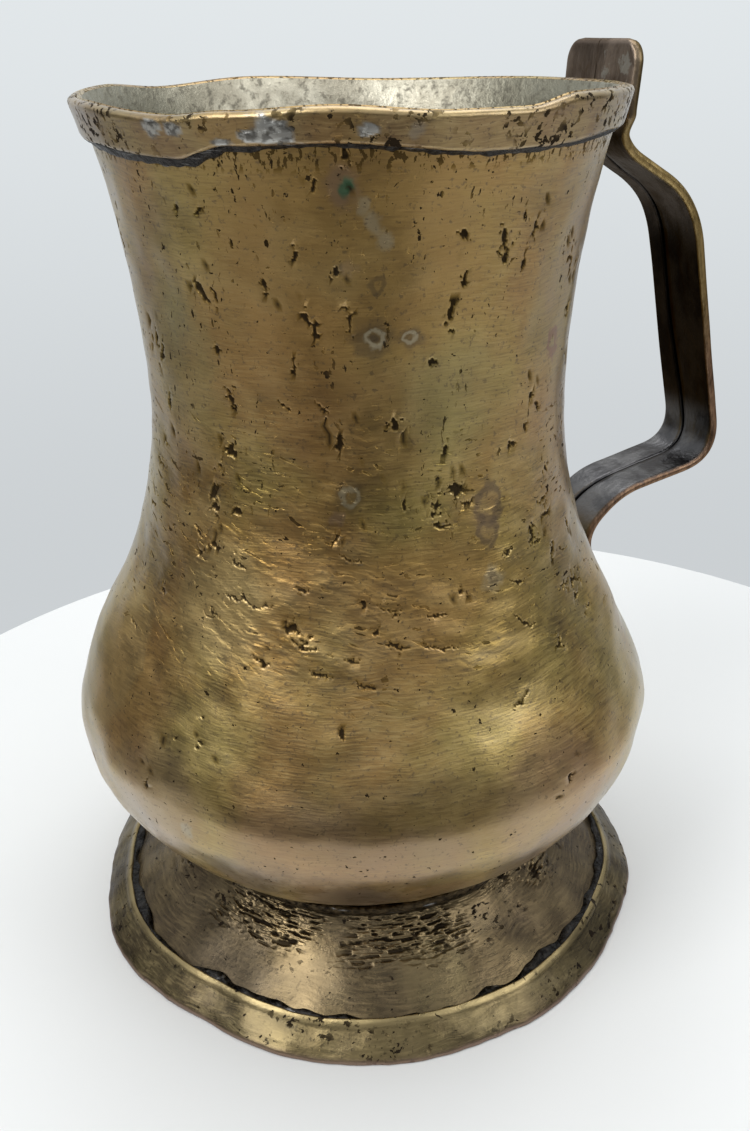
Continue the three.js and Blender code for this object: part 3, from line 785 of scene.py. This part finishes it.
band_outline = [(0.0, 0.05), (-0.1, 0.5), (-0.05, 0.95), (0.15, 1.28), (0.5, 1.45)]
band_outline += [(0.5 + step * 0.34, 1.45 + 0.012 * step) for step in range(1, 13)]
band_outline += [
    (5.0, 1.62), (5.4, 1.55), (5.8, 1.32), (6.1, 0.95), (6.25, 0.5), (6.25, 0.05), (5.8, 0.02), (3.0, 0.02),
]
mouth_band = turned([on_band(*point) for point in band_outline], 400)
wear_and_highlight_layer = mouth_band.verts.layers.float.new("wear_and_highlight")
tin_layer = mouth_band.verts.layers.float.new("tin")
for vert in mouth_band.verts:
    share = max(0.0, min(1.0, (vert.co.z - BAND_LOW) / (LIP_HEIGHT - BAND_LOW)))
    lift = wave(LIP_WAVE, vert.co) * share
    rise = vert.co.z + (wave(BAND_EDGE, vert.co) - BAND_LOW) * (1 - share) + lift
    offset = math.hypot(vert.co.x, vert.co.y) - vessel_radius(min(vert.co.z, LIP_HEIGHT))
    outer_share = eased(offset, 0.0004, 0.0010)
    lumps = noise.noise(vert.co * 110) * 0.00022 + noise.noise(vert.co * 300) * 0.00008
    cover, height = dropped(Vector((vert.co.x, vert.co.y, rise)))
    vert[tin_layer] = cover * outer_share
    vert[wear_and_highlight_layer] = 0.25 * eased(share, 0.75, 1.0)
    reach = vessel_radius(min(LIP_HEIGHT, rise - lift)) + offset + (lumps + height) * outer_share
    vert.co = moved_to(vert.co, reach, rise)


def clustered_pits(shift, bend, cluster, pit, lone_pit, depth, lowest=None):
    """How a brass strip wears: pits run together in clusters, and lone ones between them. A cluster has its
    sizes across and up and where it starts and is full, and a pit its sizes and its share of the face."""
    def wear(tree):
        flow = bent(tree, bend, bend * 0.4, shift)
        across_size, up_size, start, full = cluster
        clusters = ramp(tree, marks(tree, across_size, up_size, 3, 0.6, shift), start, full)
        if lowest:
            rise = node(tree, "ShaderNodeSeparateXYZ", {0: object_place(tree)}).outputs["Z"]
            clusters = times(tree, clusters, ramp(tree, rise, *lowest))
        deep = times(tree, flecks(tree, *pit, shift + 1, flow), clusters)
        pits = most(tree, deep, flecks(tree, *lone_pit, shift + 2, flow))
        return pits, times(tree, pits, -depth)
    return wear


def painted_over(material, share, tint):
    """Lays a colour over a finished metal, as far as a share says."""
    tree = material.node_tree
    socket = tree.nodes["Principled BSDF"].inputs["Base Color"]
    tree.links.new(mixed(tree, share, socket.links[0].from_socket, tint), socket)


band_wear = clustered_pits(
    13, 0.005, (0.011, 0.010, 0.43, 0.58), (0.0015, 0.0014, 0.175), (0.0020, 0.0016, 0.015), 0.00045,
)
tin_grey = (0.36, 0.355, 0.33)
BAND_SPOTS = (
    (-105, 194, 56, 2, 1, 0, tin_grey, 0.35), (-138, 195, 56, 7, 1, 0, brown, 0.4),
    (-118, 194, 56, 7, 1, 0, brown, 0.35),
)
band_tones = ((0.400, 0.290, 0.112), (0.300, 0.185, 0.072), (0.620, 0.480, 0.240), (0.080, 0.045, 0.022))
band_brass = aged_brass("band_brass", band_tones, band_wear, BAND_SPOTS, 0.018)
tree = band_brass.node_tree
tin_lumps = ramp(tree, marks(tree, 0.0018, 0.0014, 4, 0.6, 27), 0.40, 0.58)
mottled_tin = mixed(tree, tin_lumps, (0.16, 0.155, 0.14), (0.50, 0.50, 0.47))
painted_over(band_brass, attribute(tree, "tin"), mottled_tin)
finished("mouth_band", mouth_band, (band_brass,), "golden_brass", "rim_band")

# Solder under the mouth band: tin-lead that ran out of the joint, dark slate with a ragged edge. It
# ran furthest at the left of the front.
rim_bead = turned([
    on_band(0.5, 0.02), on_band(0.4, 1.1), on_band(-0.1, 1.05), on_band(-0.5, 0.85), on_band(-0.9, 0.66),
    on_band(-1.3, 0.46), on_band(-1.6, 0.28), on_band(-1.75, -0.3), on_band(-0.5, -0.6),
], 520)
for vert in rim_bead.verts:
    spread = 0.48 + 0.25 * noise.noise(vert.co * 60) + 0.30 * noise.noise(vert.co * 420)
    spread += 0.45 * (1 - eased(abs(across(-158, vert.co)), 0.012, 0.028))
    fall = BAND_LOW - vert.co.z
    if fall > 0:
        fall *= max(0.32, spread)
    rise = wave(BAND_EDGE, vert.co) - fall
    offset = math.hypot(vert.co.x, vert.co.y) - vessel_radius(vert.co.z)
    reach = vessel_radius(rise) + offset * (1 + 0.4 * noise.noise(vert.co * 240))
    vert.co = moved_to(vert.co, reach, rise)
finished("mouth_band_solder", rim_bead, (dark_solder,), "grey_solder", "rim_band_solder")

# Foot: a brass cone that sweeps out from an upright throat under the bulb, hammered, and deeply
# pitted where the solder of the joint ate into it.
skirt_corners = ((68.9, 1.5), (59.9, 9.1), (46.5, 14.4), (45.6, 21.6))
skirt_outer = sweep(skirt_corners, 50)
skirt_inner = thinned(beside(skirt_outer, -0.0012), 16)
skirt = turned([*skirt_outer, *reversed(skirt_inner)], 330)
gnawed_low = 0.0105
gnawed_high = 0.0208
gnawed_side = -112
gnawed_edges = set()
for face in skirt.faces:
    middle = face.calc_center_median()
    in_front = abs(across(gnawed_side, middle)) < 0.062
    if face.normal.z > -0.2 and gnawed_low < middle.z < gnawed_high and in_front:
        gnawed_edges.update(face.edges)
bmesh.ops.subdivide_edges(skirt, edges=list(gnawed_edges), cuts=2, use_grid_fill=True)
pit_layer = skirt.verts.layers.float.new("pit")
wear_and_highlight_layer = skirt.verts.layers.float.new("wear_and_highlight")
skirt.normal_update()
outward = {vert: vert.normal.copy() for vert in skirt.verts}
for vert in skirt.verts:
    away = outward[vert]
    crease = eased(vert.co.z, gnawed_low, 0.0150) * (1 - eased(vert.co.z, 0.0205, 0.0215))
    front_share = 1 - eased(abs(across(gnawed_side, vert.co)), 0.020, 0.036)
    patch = eased(noise.noise(vert.co * 55 + Vector((4, 2, 1))) + 0.5 * front_share, -0.05, 0.30)
    ragged = noise.noise(Vector((vert.co.x * 270, vert.co.y * 270, vert.co.z * 2800)))
    ragged += 0.35 * noise.noise(vert.co * 1100)
    gnawed = eased(ragged, 0.16, 0.30) * crease * patch
    ledge = eased(ragged, -0.30, 0.0) * (1 - eased(ragged, 0.02, 0.18)) * crease * patch
    raised = noise.noise(vert.co * 45) * 0.0006 + noise.noise(vert.co * 130) * 0.00028
    if away.dot(Vector((vert.co.x, vert.co.y, 0))) > 0 and away.z > -0.2:
        rubbed = 0.3 * eased(noise.noise(vert.co * 60 + Vector((3, 1, 2))), 0.1, 0.4)
        vert[pit_layer] = min(1.0, gnawed * 1.2)
        # The ledges round the pits add to this value, which paints them bright as painted highlights beside
        # their real rise. The rest of the value is wear.
        vert[wear_and_highlight_layer] = raised * 1000 + rubbed + 0.8 * ledge
        vert.co = vert.co + away * (raised + ledge * 0.00022 - gnawed * 0.0007)
    else:
        vert.co = vert.co - away * raised
    vert.co = unround(vert.co)

# level pits near the throat, and a few alone lower down
foot_wear = clustered_pits(
    17, 0.006, (0.012, 0.0035, 0.44, 0.58), (0.0028, 0.0013, 0.13), (0.0024, 0.0014, 0.030), 0.0006,
    (0.0085, 0.0150),
)
# Painted light on the foot: the lighter patches either side of the front are painted highlights, and the
# darker one on the left is painted shade.
FOOT_PAINTED_LIGHT = (
    (-128, 10, 60, 11, 0.8, 0, (0.22, 0.165, 0.085), 0.5),
    (-100, 11, 58, 11, 0.8, 0, (0.15, 0.12, 0.055), 0.5),
    (-150, 8, 60, 16, 0.8, 0, (0.095, 0.072, 0.045), 0.6),
)
# The foot's brass tones, darkened far below the vessel's as painted shade under the bulb.
foot_tones_with_painted_shade = ((0.118, 0.086, 0.042), (0.090, 0.063, 0.034), (0.320, 0.235, 0.120), (0.030, 0.021, 0.012))
foot_brass = aged_brass("foot_brass", foot_tones_with_painted_shade, foot_wear, FOOT_PAINTED_LIGHT, 0.022, 0.12, 0.25)
finished("foot", skirt, (foot_brass,), "pink_brass", "foot_skirt")

# Solder in the crease between bulb and foot: tin-lead gone nearly black. It holds the vessel in the
# foot's throat, and ran down over it with a ragged edge.
crease_bead = turned(in_millimetres(
    (45.2, 22.8), (47.2, 22.8), (47.6, 21.8), (47.0, 20.6), (46.4, 19.6), (45.4, 19.6),
), 420)
for vert in crease_bead.verts:
    if vert.co.z < 0.022:
        vert.co.z += noise.noise(vert.co * 120) * 0.0009 + noise.noise(vert.co * 420) * 0.0006
    vert.co = unround(vert.co)
crease_solder = solder("crease_solder", (0.016, 0.012, 0.008), (0.110, 0.080, 0.045))
finished("foot_throat_solder", crease_bead, (crease_solder,), "grey_solder", "body_foot_solder")

# Foot band: a thick brass strip over the foot's edge, hammered down to an uneven outline. The
# tankard stands on its flat underside.
foot_line = sweep(skirt_corners, 140)
band_face = beside(foot_line, 0.0018)
band_back = beside(foot_line, 0.0003)


def reached(points, length):
    """The part of a line of points up to a length from its start."""
    kept = [points[0]]
    for point in points[1:]:
        length -= (point - kept[-1]).length
        if length < 0:
            break
        kept.append(point)
    return kept


face_line = thinned(reached(band_face, 0.0066), 22)
back_line = thinned(reached(band_back, 0.0060), 8)
edge_line = in_millimetres(
    (69.9, 0.0), (71.2, 0.0), (71.6, 0.1), (71.8, 0.35), (71.8, 0.8), (71.7, 1.15), (71.45, 1.5),
    (71.0, 1.95), (70.5, 2.4),
)
foot_band = turned([*edge_line, *face_line, *reversed(back_line)], 400)
wear_and_highlight_layer = foot_band.verts.layers.float.new("wear_and_highlight")
edge_layer = foot_band.verts.layers.float.new("edge")
for vert in foot_band.verts:
    reach = math.hypot(vert.co.x, vert.co.y)
    # The value rises to 0.9 along the band's top ridge, which paints the ridge bright as a painted highlight.
    # The noise part is wear.
    vert[wear_and_highlight_layer] = 0.9 * eased(vert.co.z, 0.0054, 0.0064) + 0.5 * noise.noise(vert.co * 90)
    vert[edge_layer] = 1 - eased(vert.co.z, 0.0009, 0.0017)
    lumps = noise.noise(vert.co * 80) * 0.00045 + noise.noise(vert.co * 260) * 0.00018
    nick = abs(noise.noise(vert.co * 190)) * 0.0004 * eased(reach, 0.0700, 0.0715)
    ridge = 0.00045 * eased(vert.co.z, 0.0054, 0.0062)
    rise = vert.co.z + lumps * eased(vert.co.z, 0.0, 0.0012) + ridge
    vert.co = unround(moved_to(vert.co, reach - nick, rise))

foot_band_wear = clustered_pits(
    21, 0.005, (0.010, 0.010, 0.48, 0.62), (0.0020, 0.0017, 0.110), (0.0024, 0.0020, 0.035), 0.00045,
)
# The foot band's brass tones, darkened like the foot's as painted shade under the bulb. Its two patches are
# painted light: the darker one on the right is painted shade, and the lighter one at the front is a painted
# highlight.
strip_tones_with_painted_shade = ((0.112, 0.086, 0.038), (0.078, 0.056, 0.027), (0.400, 0.310, 0.150), (0.026, 0.019, 0.010))
STRIP_PAINTED_LIGHT = (
    (-68, 3, 70, 26, 1, 0, (0.05, 0.038, 0.018), 0.55), (-116, 3, 70, 24, 1, 0, (0.24, 0.18, 0.08), 0.45),
)
strip_brass = aged_brass("foot_band_brass", strip_tones_with_painted_shade, foot_band_wear, STRIP_PAINTED_LIGHT, 0.012, 0.12, 0.27)
lip_share = times(strip_brass.node_tree, attribute(strip_brass.node_tree, "edge"), 0.75)
painted_over(strip_brass, lip_share, (0.300, 0.205, 0.160))
finished("foot_strip", foot_band, (strip_brass,), "golden_brass", "foot_band")

# Solder along the foot band's upper edge: dark tin-lead with bright scrapes. It ran out of the joint
# between the band and the foot, and up the foot in a ragged line.
foot_bead_outer = beside(sweep(skirt_corners, 400), 0.0003)
foot_bead_start = len(reached(foot_bead_outer, 0.0060))
foot_bead_line = foot_bead_outer[foot_bead_start - 8:foot_bead_start + 40]
bead_under = thinned([point - Vector((0.0002, 0, 0.0004)) for point in foot_bead_line], 6)
bead_top = thinned(foot_bead_line, 14)
bead_profile = []
for index, point in enumerate(bead_top):
    share = index / (len(bead_top) - 1)
    swell = math.sin(math.pi * min(1.0, 0.25 + share * 0.75)) * 0.0011
    bead_profile.append(point + Vector((swell * 0.55, 0, swell * 0.83)))
bead_edge = 0.0655
foot_slope = 0.80
foot_bead = turned([*bead_profile, *reversed(bead_under)], 520)
for vert in foot_bead.verts:
    reach = math.hypot(vert.co.x, vert.co.y)
    ragged = 0.58 + 0.25 * noise.noise(vert.co * 55) + 0.32 * noise.noise(vert.co * 200)
    moved = bead_edge - (bead_edge - reach) * max(0.40, ragged) if reach < bead_edge else reach
    ripple = noise.noise(vert.co * 420) * 0.00016
    vert.co = unround(moved_to(vert.co, moved, vert.co.z + (reach - moved) * foot_slope + ripple))
finished("foot_strip_solder", foot_bead, (dark_solder,), "grey_solder", "foot_band_solder")

# Handle: a brass strap folded round from sheet, its two edges meeting in an open seam on the face
# towards the vessel. Its upper end is hammered out into a flat tab, its lower end lies on the bulb.
HANDLE_CORNERS = (
    (63.4, 205.7, 0), (61.8, 184.6, 8), (86.7, 170.5, 11.5), (103.1, 103, 11), (71.5, 97.7, 6), (59, 87, 9.5),
    (65.6, 78, 0),
)
STRAP_HALF = 0.0097
STRAP_THICK = 0.00120
TAB_HALF = 0.0129
TAB_CORNER = 0.005
strap_rings = 420


def rounded_line(corners, count):
    """Evenly spread points on a line with rounded corners, and its length. Each corner has a place across,
    a height and the room that its turn takes, in millimetres."""
    knots = [Vector((out, 0, rise)) / 1000 for out, rise, room in corners]
    dense = [knots[0]]
    for before, knot, after, (_, _, room) in zip(knots, knots[1:], knots[2:], corners[1:]):
        start = knot + (before - knot).normalized() * room / 1000
        end = knot + (after - knot).normalized() * room / 1000
        dense += geometry.interpolate_bezier(start, start.lerp(knot, 2 / 3), end.lerp(knot, 2 / 3), end, 24)
    dense.append(knots[-1])
    lengths = [0.0]
    for start, end in zip(dense, dense[1:]):
        lengths.append(lengths[-1] + (end - start).length)
    spread = []
    index = 0
    for step in range(count):
        wanted = lengths[-1] * step / (count - 1)
        while index < len(dense) - 2 and lengths[index + 1] < wanted:
            index += 1
        share = (wanted - lengths[index]) / max(1e-9, lengths[index + 1] - lengths[index])
        spread.append(dense[index].lerp(dense[index + 1], share))
    return spread, lengths[-1]


def way_along(line, step):
    """The way that a line of points runs at one of them."""
    return (line[min(step + 1, len(line) - 1)] - line[max(step - 1, 0)]).normalized()


def drawn_out(made, ring, rings):
    """Draws a ring of points out along x, one step for each ring, into a bar with closed ends. Each point
    keeps its number in the ring."""
    point_layer = made.verts.layers.int.new("point")
    front_verts = [made.verts.new((0, across_way, up)) for across_way, up in ring]
    front_edges = [made.edges.new((vert, front_verts[index - 1])) for index, vert in enumerate(front_verts)]
    for index, vert in enumerate(front_verts):
        vert[point_layer] = index
    made.faces.new(front_verts)
    for step in range(1, rings):
        drawn = bmesh.ops.extrude_edge_only(made, edges=front_edges)["geom"]
        front_verts = [item for item in drawn if isinstance(item, bmesh.types.BMVert)]
        front_edges = [item for item in drawn if isinstance(item, bmesh.types.BMEdge)]
        for vert in front_verts:
            vert.co.x = step
    made.faces.new(sorted(front_verts, key=lambda vert: vert[point_layer]))
    return point_layer


handle_path, handle_length = rounded_line(HANDLE_CORNERS, strap_rings)
# the seam's place towards the far side and its width, in millimetres, by the length down the handle
SEAM = (
    (0, 1, 0), (22, 1, 0), (36, 3.8, 0.9), (75, 3.9, 0.9), (104, 2, 0.8), (122, 0.6, 0.2), (140, 0.2, 0.5),
    (152, 1.6, 1), (162, 4, 2.6), (175, 4.6, 3),
)


def seam_at(length):
    """Where the seam lies and how wide it is open, at a length down the handle in metres."""
    return [value / 1000 for value in read_smoothly(SEAM, length * 1000)]


# The strap's section as points (across, out): -1..1 across its outer face, round both folds, and
# along its inner face to the seam's two lips and the slot between them.
section = [(-1 + step / 9, 1.0, "outer") for step in range(19)]
section += [(1.0, angle, "far_fold") for angle in (68, 45, 22, 0, -22, -45, -68)]
section += [(1 - step / 8, -1.0, "far_inner") for step in range(9)]
section += [(0.0, step, "far_lip") for step in (0.15, 0.5, 1.0)]
section += [(1.0, step, "near_lip") for step in (1.0, 0.5, 0.15)]
section += [(step / 8, -1.0, "near_inner") for step in range(9)]
section += [(-1.0, angle, "near_fold") for angle in (-68, -45, -22, 0, 22, 45, 68)]
strap = bmesh.new()
edge_layer = strap.verts.layers.float.new("edge")
seam_layer = strap.verts.layers.float.new("seam")
wear_and_highlight_layer = strap.verts.layers.float.new("wear_and_highlight")
inside_layer = strap.verts.layers.float.new("inside")
down_layer = strap.verts.layers.float.new("down")
point_layer = drawn_out(strap, [(index / 1000, 0) for index in range(len(section))], strap_rings)
for vert in strap.verts:
    step = round(vert.co.x)
    across_share, out_share, part = section[vert[point_layer]]
    length = handle_length * step / (strap_rings - 1)
    along = way_along(handle_path, step)
    out = Vector((-along.z, 0, along.x))
    on_tab = 1 - eased(length, 0.0150, 0.0210)
    half = STRAP_HALF + (TAB_HALF - STRAP_HALF) * on_tab
    if length < TAB_CORNER:
        half -= TAB_CORNER - math.sqrt(max(0.0, TAB_CORNER ** 2 - (TAB_CORNER - length) ** 2))
    half *= 1 - 0.12 * eased(length, handle_length - 0.006, handle_length)
    half += noise.noise(Vector((length * 60, 0.3, across_share * 0.6))) * 0.00035
    thick = STRAP_THICK + 0.00025 * on_tab
    thick *= 1 - 0.45 * eased(length, handle_length - 0.012, handle_length)
    if length < STRAP_THICK:
        thick *= math.sqrt(max(0.04, 1 - (1 - length / STRAP_THICK) ** 2))
    flat_half = half - thick
    seam_place, seam_width = seam_at(length)
    seam_open = eased(seam_width, 0.0, 0.0003)
    half_gap = max(0.00012, seam_width) / 2
    if part == "outer":
        across_way, out_way = across_share * flat_half, thick
    elif part.endswith("fold"):
        side = 1 if part == "far_fold" else -1
        turn = math.radians(out_share)
        across_way = side * (flat_half + thick * math.cos(turn))
        out_way = thick * math.sin(turn)
    elif part.endswith("inner"):
        side = 1 if part == "far_inner" else -1
        lip = seam_place + side * (half_gap + 0.0003)
        across_way = lip + (side * flat_half - lip) * across_share
        out_way = -thick
    else:
        side = 1 if part == "far_lip" else -1
        across_way = seam_place + side * (half_gap + (0.0002 if out_share < 0.3 else 0.0))
        out_way = -thick + 0.0011 * seam_open * out_share
    dish = 0.0
    if part == "outer":
        dish = -0.00012 * (1 - across_share ** 2)
    elif out_way < 0 and "fold" not in part:
        dish = 0.00025 * (1 - (across_way / half) ** 2)
    rough_face = noise.noise(Vector((across_way * 120, length * 60, out_way * 900))) * 0.00014
    vert[edge_layer] = max(0.0, min(1.0, (abs(across_way) - flat_half + 0.0004) / (thick * 1.15)))
    vert[seam_layer] = seam_open if part.endswith("lip") and out_share > 0.3 else 0.0
    vert[inside_layer] = 1.0 if out_way < 0 else 0.0
    vert[down_layer] = length * 1000
    vert[wear_and_highlight_layer] = noise.noise(Vector((across_way * 300, length * 90, out_way * 300))) * 0.3
    vert.co = handle_path[step] + Vector((0, across_way, 0)) + out * (out_way + dish + rough_face)
bmesh.ops.recalc_face_normals(strap, faces=strap.faces)


def dark_strap(name):
    """Blackened brass: near black on the grip, which there is also a painted dark reflection of the vessel;
    greyer on the inner face's upper slope and lower arm as painted highlights; greyer brown on the tab; with
    folds rubbed to brass above and to copper brown below. Its bounds are millimetres down the handle."""
    material, tree, shader = metal(name)
    shader.inputs["Specular Tint"].default_value = (0.50, 0.46, 0.42, 1)
    cloudy = marks(tree, 0.008, 0.014, 4, 0.6, 31)
    fine = marks(tree, 0.0012, 0.004, 4, 0.6, 32)
    clouds = ramp(tree, cloudy, 0.40, 0.62)
    grains = ramp(tree, fine, 0.35, 0.65)
    down = attribute(tree, "down")
    painted_highlight_slope = times(tree, ramp(tree, down, 18.0, 28.0), ramp(tree, down, 62.0, 40.0))
    # Near black on the inner face's grip: the blackened brass, darkened further as a painted dark reflection
    # of the vessel.
    face = mixed(tree, clouds, (0.007, 0.006, 0.005), (0.018, 0.014, 0.011))
    # Greyer on the lower arm and the upper slope as painted highlights; the greyer brown of the tab is its
    # own colour.
    for share, low, high in (
        (ramp(tree, down, 100.0, 114.0), (0.105, 0.104, 0.108), (0.180, 0.178, 0.180)),
        (painted_highlight_slope, (0.040, 0.035, 0.032), (0.085, 0.075, 0.068)),
        (ramp(tree, down, 20.0, 14.0), (0.170, 0.132, 0.106), (0.270, 0.215, 0.175)),
    ):
        face = mixed(tree, share, face, mixed(tree, clouds, low, high))
    outer_face = mixed(tree, ramp(tree, cloudy, 0.42, 0.60), (0.110, 0.082, 0.050), (0.190, 0.140, 0.075))
    face = mixed(tree, attribute(tree, "inside"), outer_face, face)
    above = mixed(tree, grains, (0.300, 0.215, 0.085), (0.420, 0.310, 0.140))
    below = mixed(tree, grains, (0.150, 0.090, 0.058), (0.300, 0.190, 0.120))
    rubbed = mixed(tree, ramp(tree, down, 62.0, 92.0), above, below)
    rubbed_share = times(
        tree, ramp(tree, attribute(tree, "edge"), 0.45, 1.0), ramp(tree, fine, 0.2, 0.5, 0.45, 1.0),
        ramp(tree, down, 14.0, 24.0, 0.25, 1.0),
    )
    colour = mixed(tree, rubbed_share, face, rubbed)
    splash = ramp(tree, marks(tree, 0.0045, 0.0045, 4, 0.65, 33), 0.58, 0.66)
    on_tab = ramp(tree, down, 18.0, 12.0)
    colour = mixed(tree, times(tree, splash, on_tab, 0.8), colour, (0.40, 0.38, 0.34))
    colour = mixed(tree, times(tree, attribute(tree, "seam"), 0.95), colour, (0.006, 0.006, 0.006))
    relief = added(tree, times(tree, cloudy, 0.0006), times(tree, fine, 0.0001))
    joined(tree, shader, colour, ramp(tree, cloudy, 0.3, 0.7, 0.30, 0.46), relief)
    return material


finished("handle", strap, (dark_strap("handle_brass"),), "dark_brass", "handle_strap")

# Solder that holds the tab to the mouth band: a lumpy fillet of dark tin-lead that fills the space
# between the strap's inner face and the band.
tab_fill = bmesh.new()
bmesh.ops.create_cube(tab_fill, size=1.0)
bmesh.ops.subdivide_edges(tab_fill, edges=tab_fill.edges, cuts=14, use_grid_fill=True)
fill_middle = 0.1925
fill_half_height = 0.0036
fill_half_width = 0.0104
for vert in tab_fill.verts:
    way, side, rise = vert.co * 2
    across_way = side * fill_half_width
    up = fill_middle + rise * fill_half_height
    tab_face = 0.0602 + (up - LIP_HEIGHT) * 0.07
    band_outside = vessel_radius(min(up, LIP_HEIGHT)) + 0.0013
    band_face_here = math.sqrt(max(0.0, band_outside ** 2 - across_way ** 2))
    reach = band_face_here + (tab_face - band_face_here + 0.0014) * (way + 1) / 2
    pinch = 1 - 0.5 * max(abs(side), abs(rise)) ** 6
    swell = (1 - side ** 2) * 0.3 + 0.7
    lumps = noise.noise(Vector((reach, across_way, up)) * 200) * 0.0005
    up = fill_middle + rise * fill_half_height * swell * pinch + lumps
    vert.co = Vector((reach, across_way * (0.93 + 0.07 * pinch), up))
bmesh.ops.recalc_face_normals(tab_fill, faces=tab_fill.faces)
finished("tab_solder", tab_fill, (dark_solder,), "grey_solder", "handle_top_solder")

# Solder round the strap's lower end on the shoulder of the bulb: a thin uneven bead of dark tin-lead,
# open above, where the strap comes down.
BEAD_CORNERS = (
    (11, 88, 0), (11, 77.2, 4), (6, 75.3, 3), (-6, 75.3, 3), (-11, 77.2, 4), (-11, 88, 0),
)
bead_steps = 150
bead_sides = 12
bead_taper = 12
bead_turns = [math.tau * index / bead_sides for index in range(bead_sides)]
terminal_bead = bmesh.new()
drawn_out(terminal_bead, [(math.cos(turn), math.sin(turn)) for turn in bead_turns], bead_steps)
bead_path = rounded_line(BEAD_CORNERS, bead_steps)[0]
for vert in terminal_bead.verts:
    step = round(vert.co.x)
    along = way_along(bead_path, step)
    to_end = max(0.04, min(step, bead_steps - 1 - step) / bead_taper)
    width = 0.0010 * (1 + 0.5 * noise.noise(Vector((step * 0.11, 0, 0))))
    width *= math.sin(math.pi * min(1.0, to_end / 2 + 0.02))
    side = bead_path[step].x - along.z * vert.co.y * width
    up = bead_path[step].z + along.x * vert.co.y * width
    proud = vert.co.z * 0.0008
    radius = math.sqrt(max(0.0, vessel_radius(up) ** 2 - side ** 2)) + 0.0002 + proud
    vert.co = Vector((radius, side, up + proud * 0.5))
bmesh.ops.recalc_face_normals(terminal_bead, faces=terminal_bead.faces)
finished("terminal_solder", terminal_bead, (dark_solder,), "grey_solder", "handle_lower_solder")
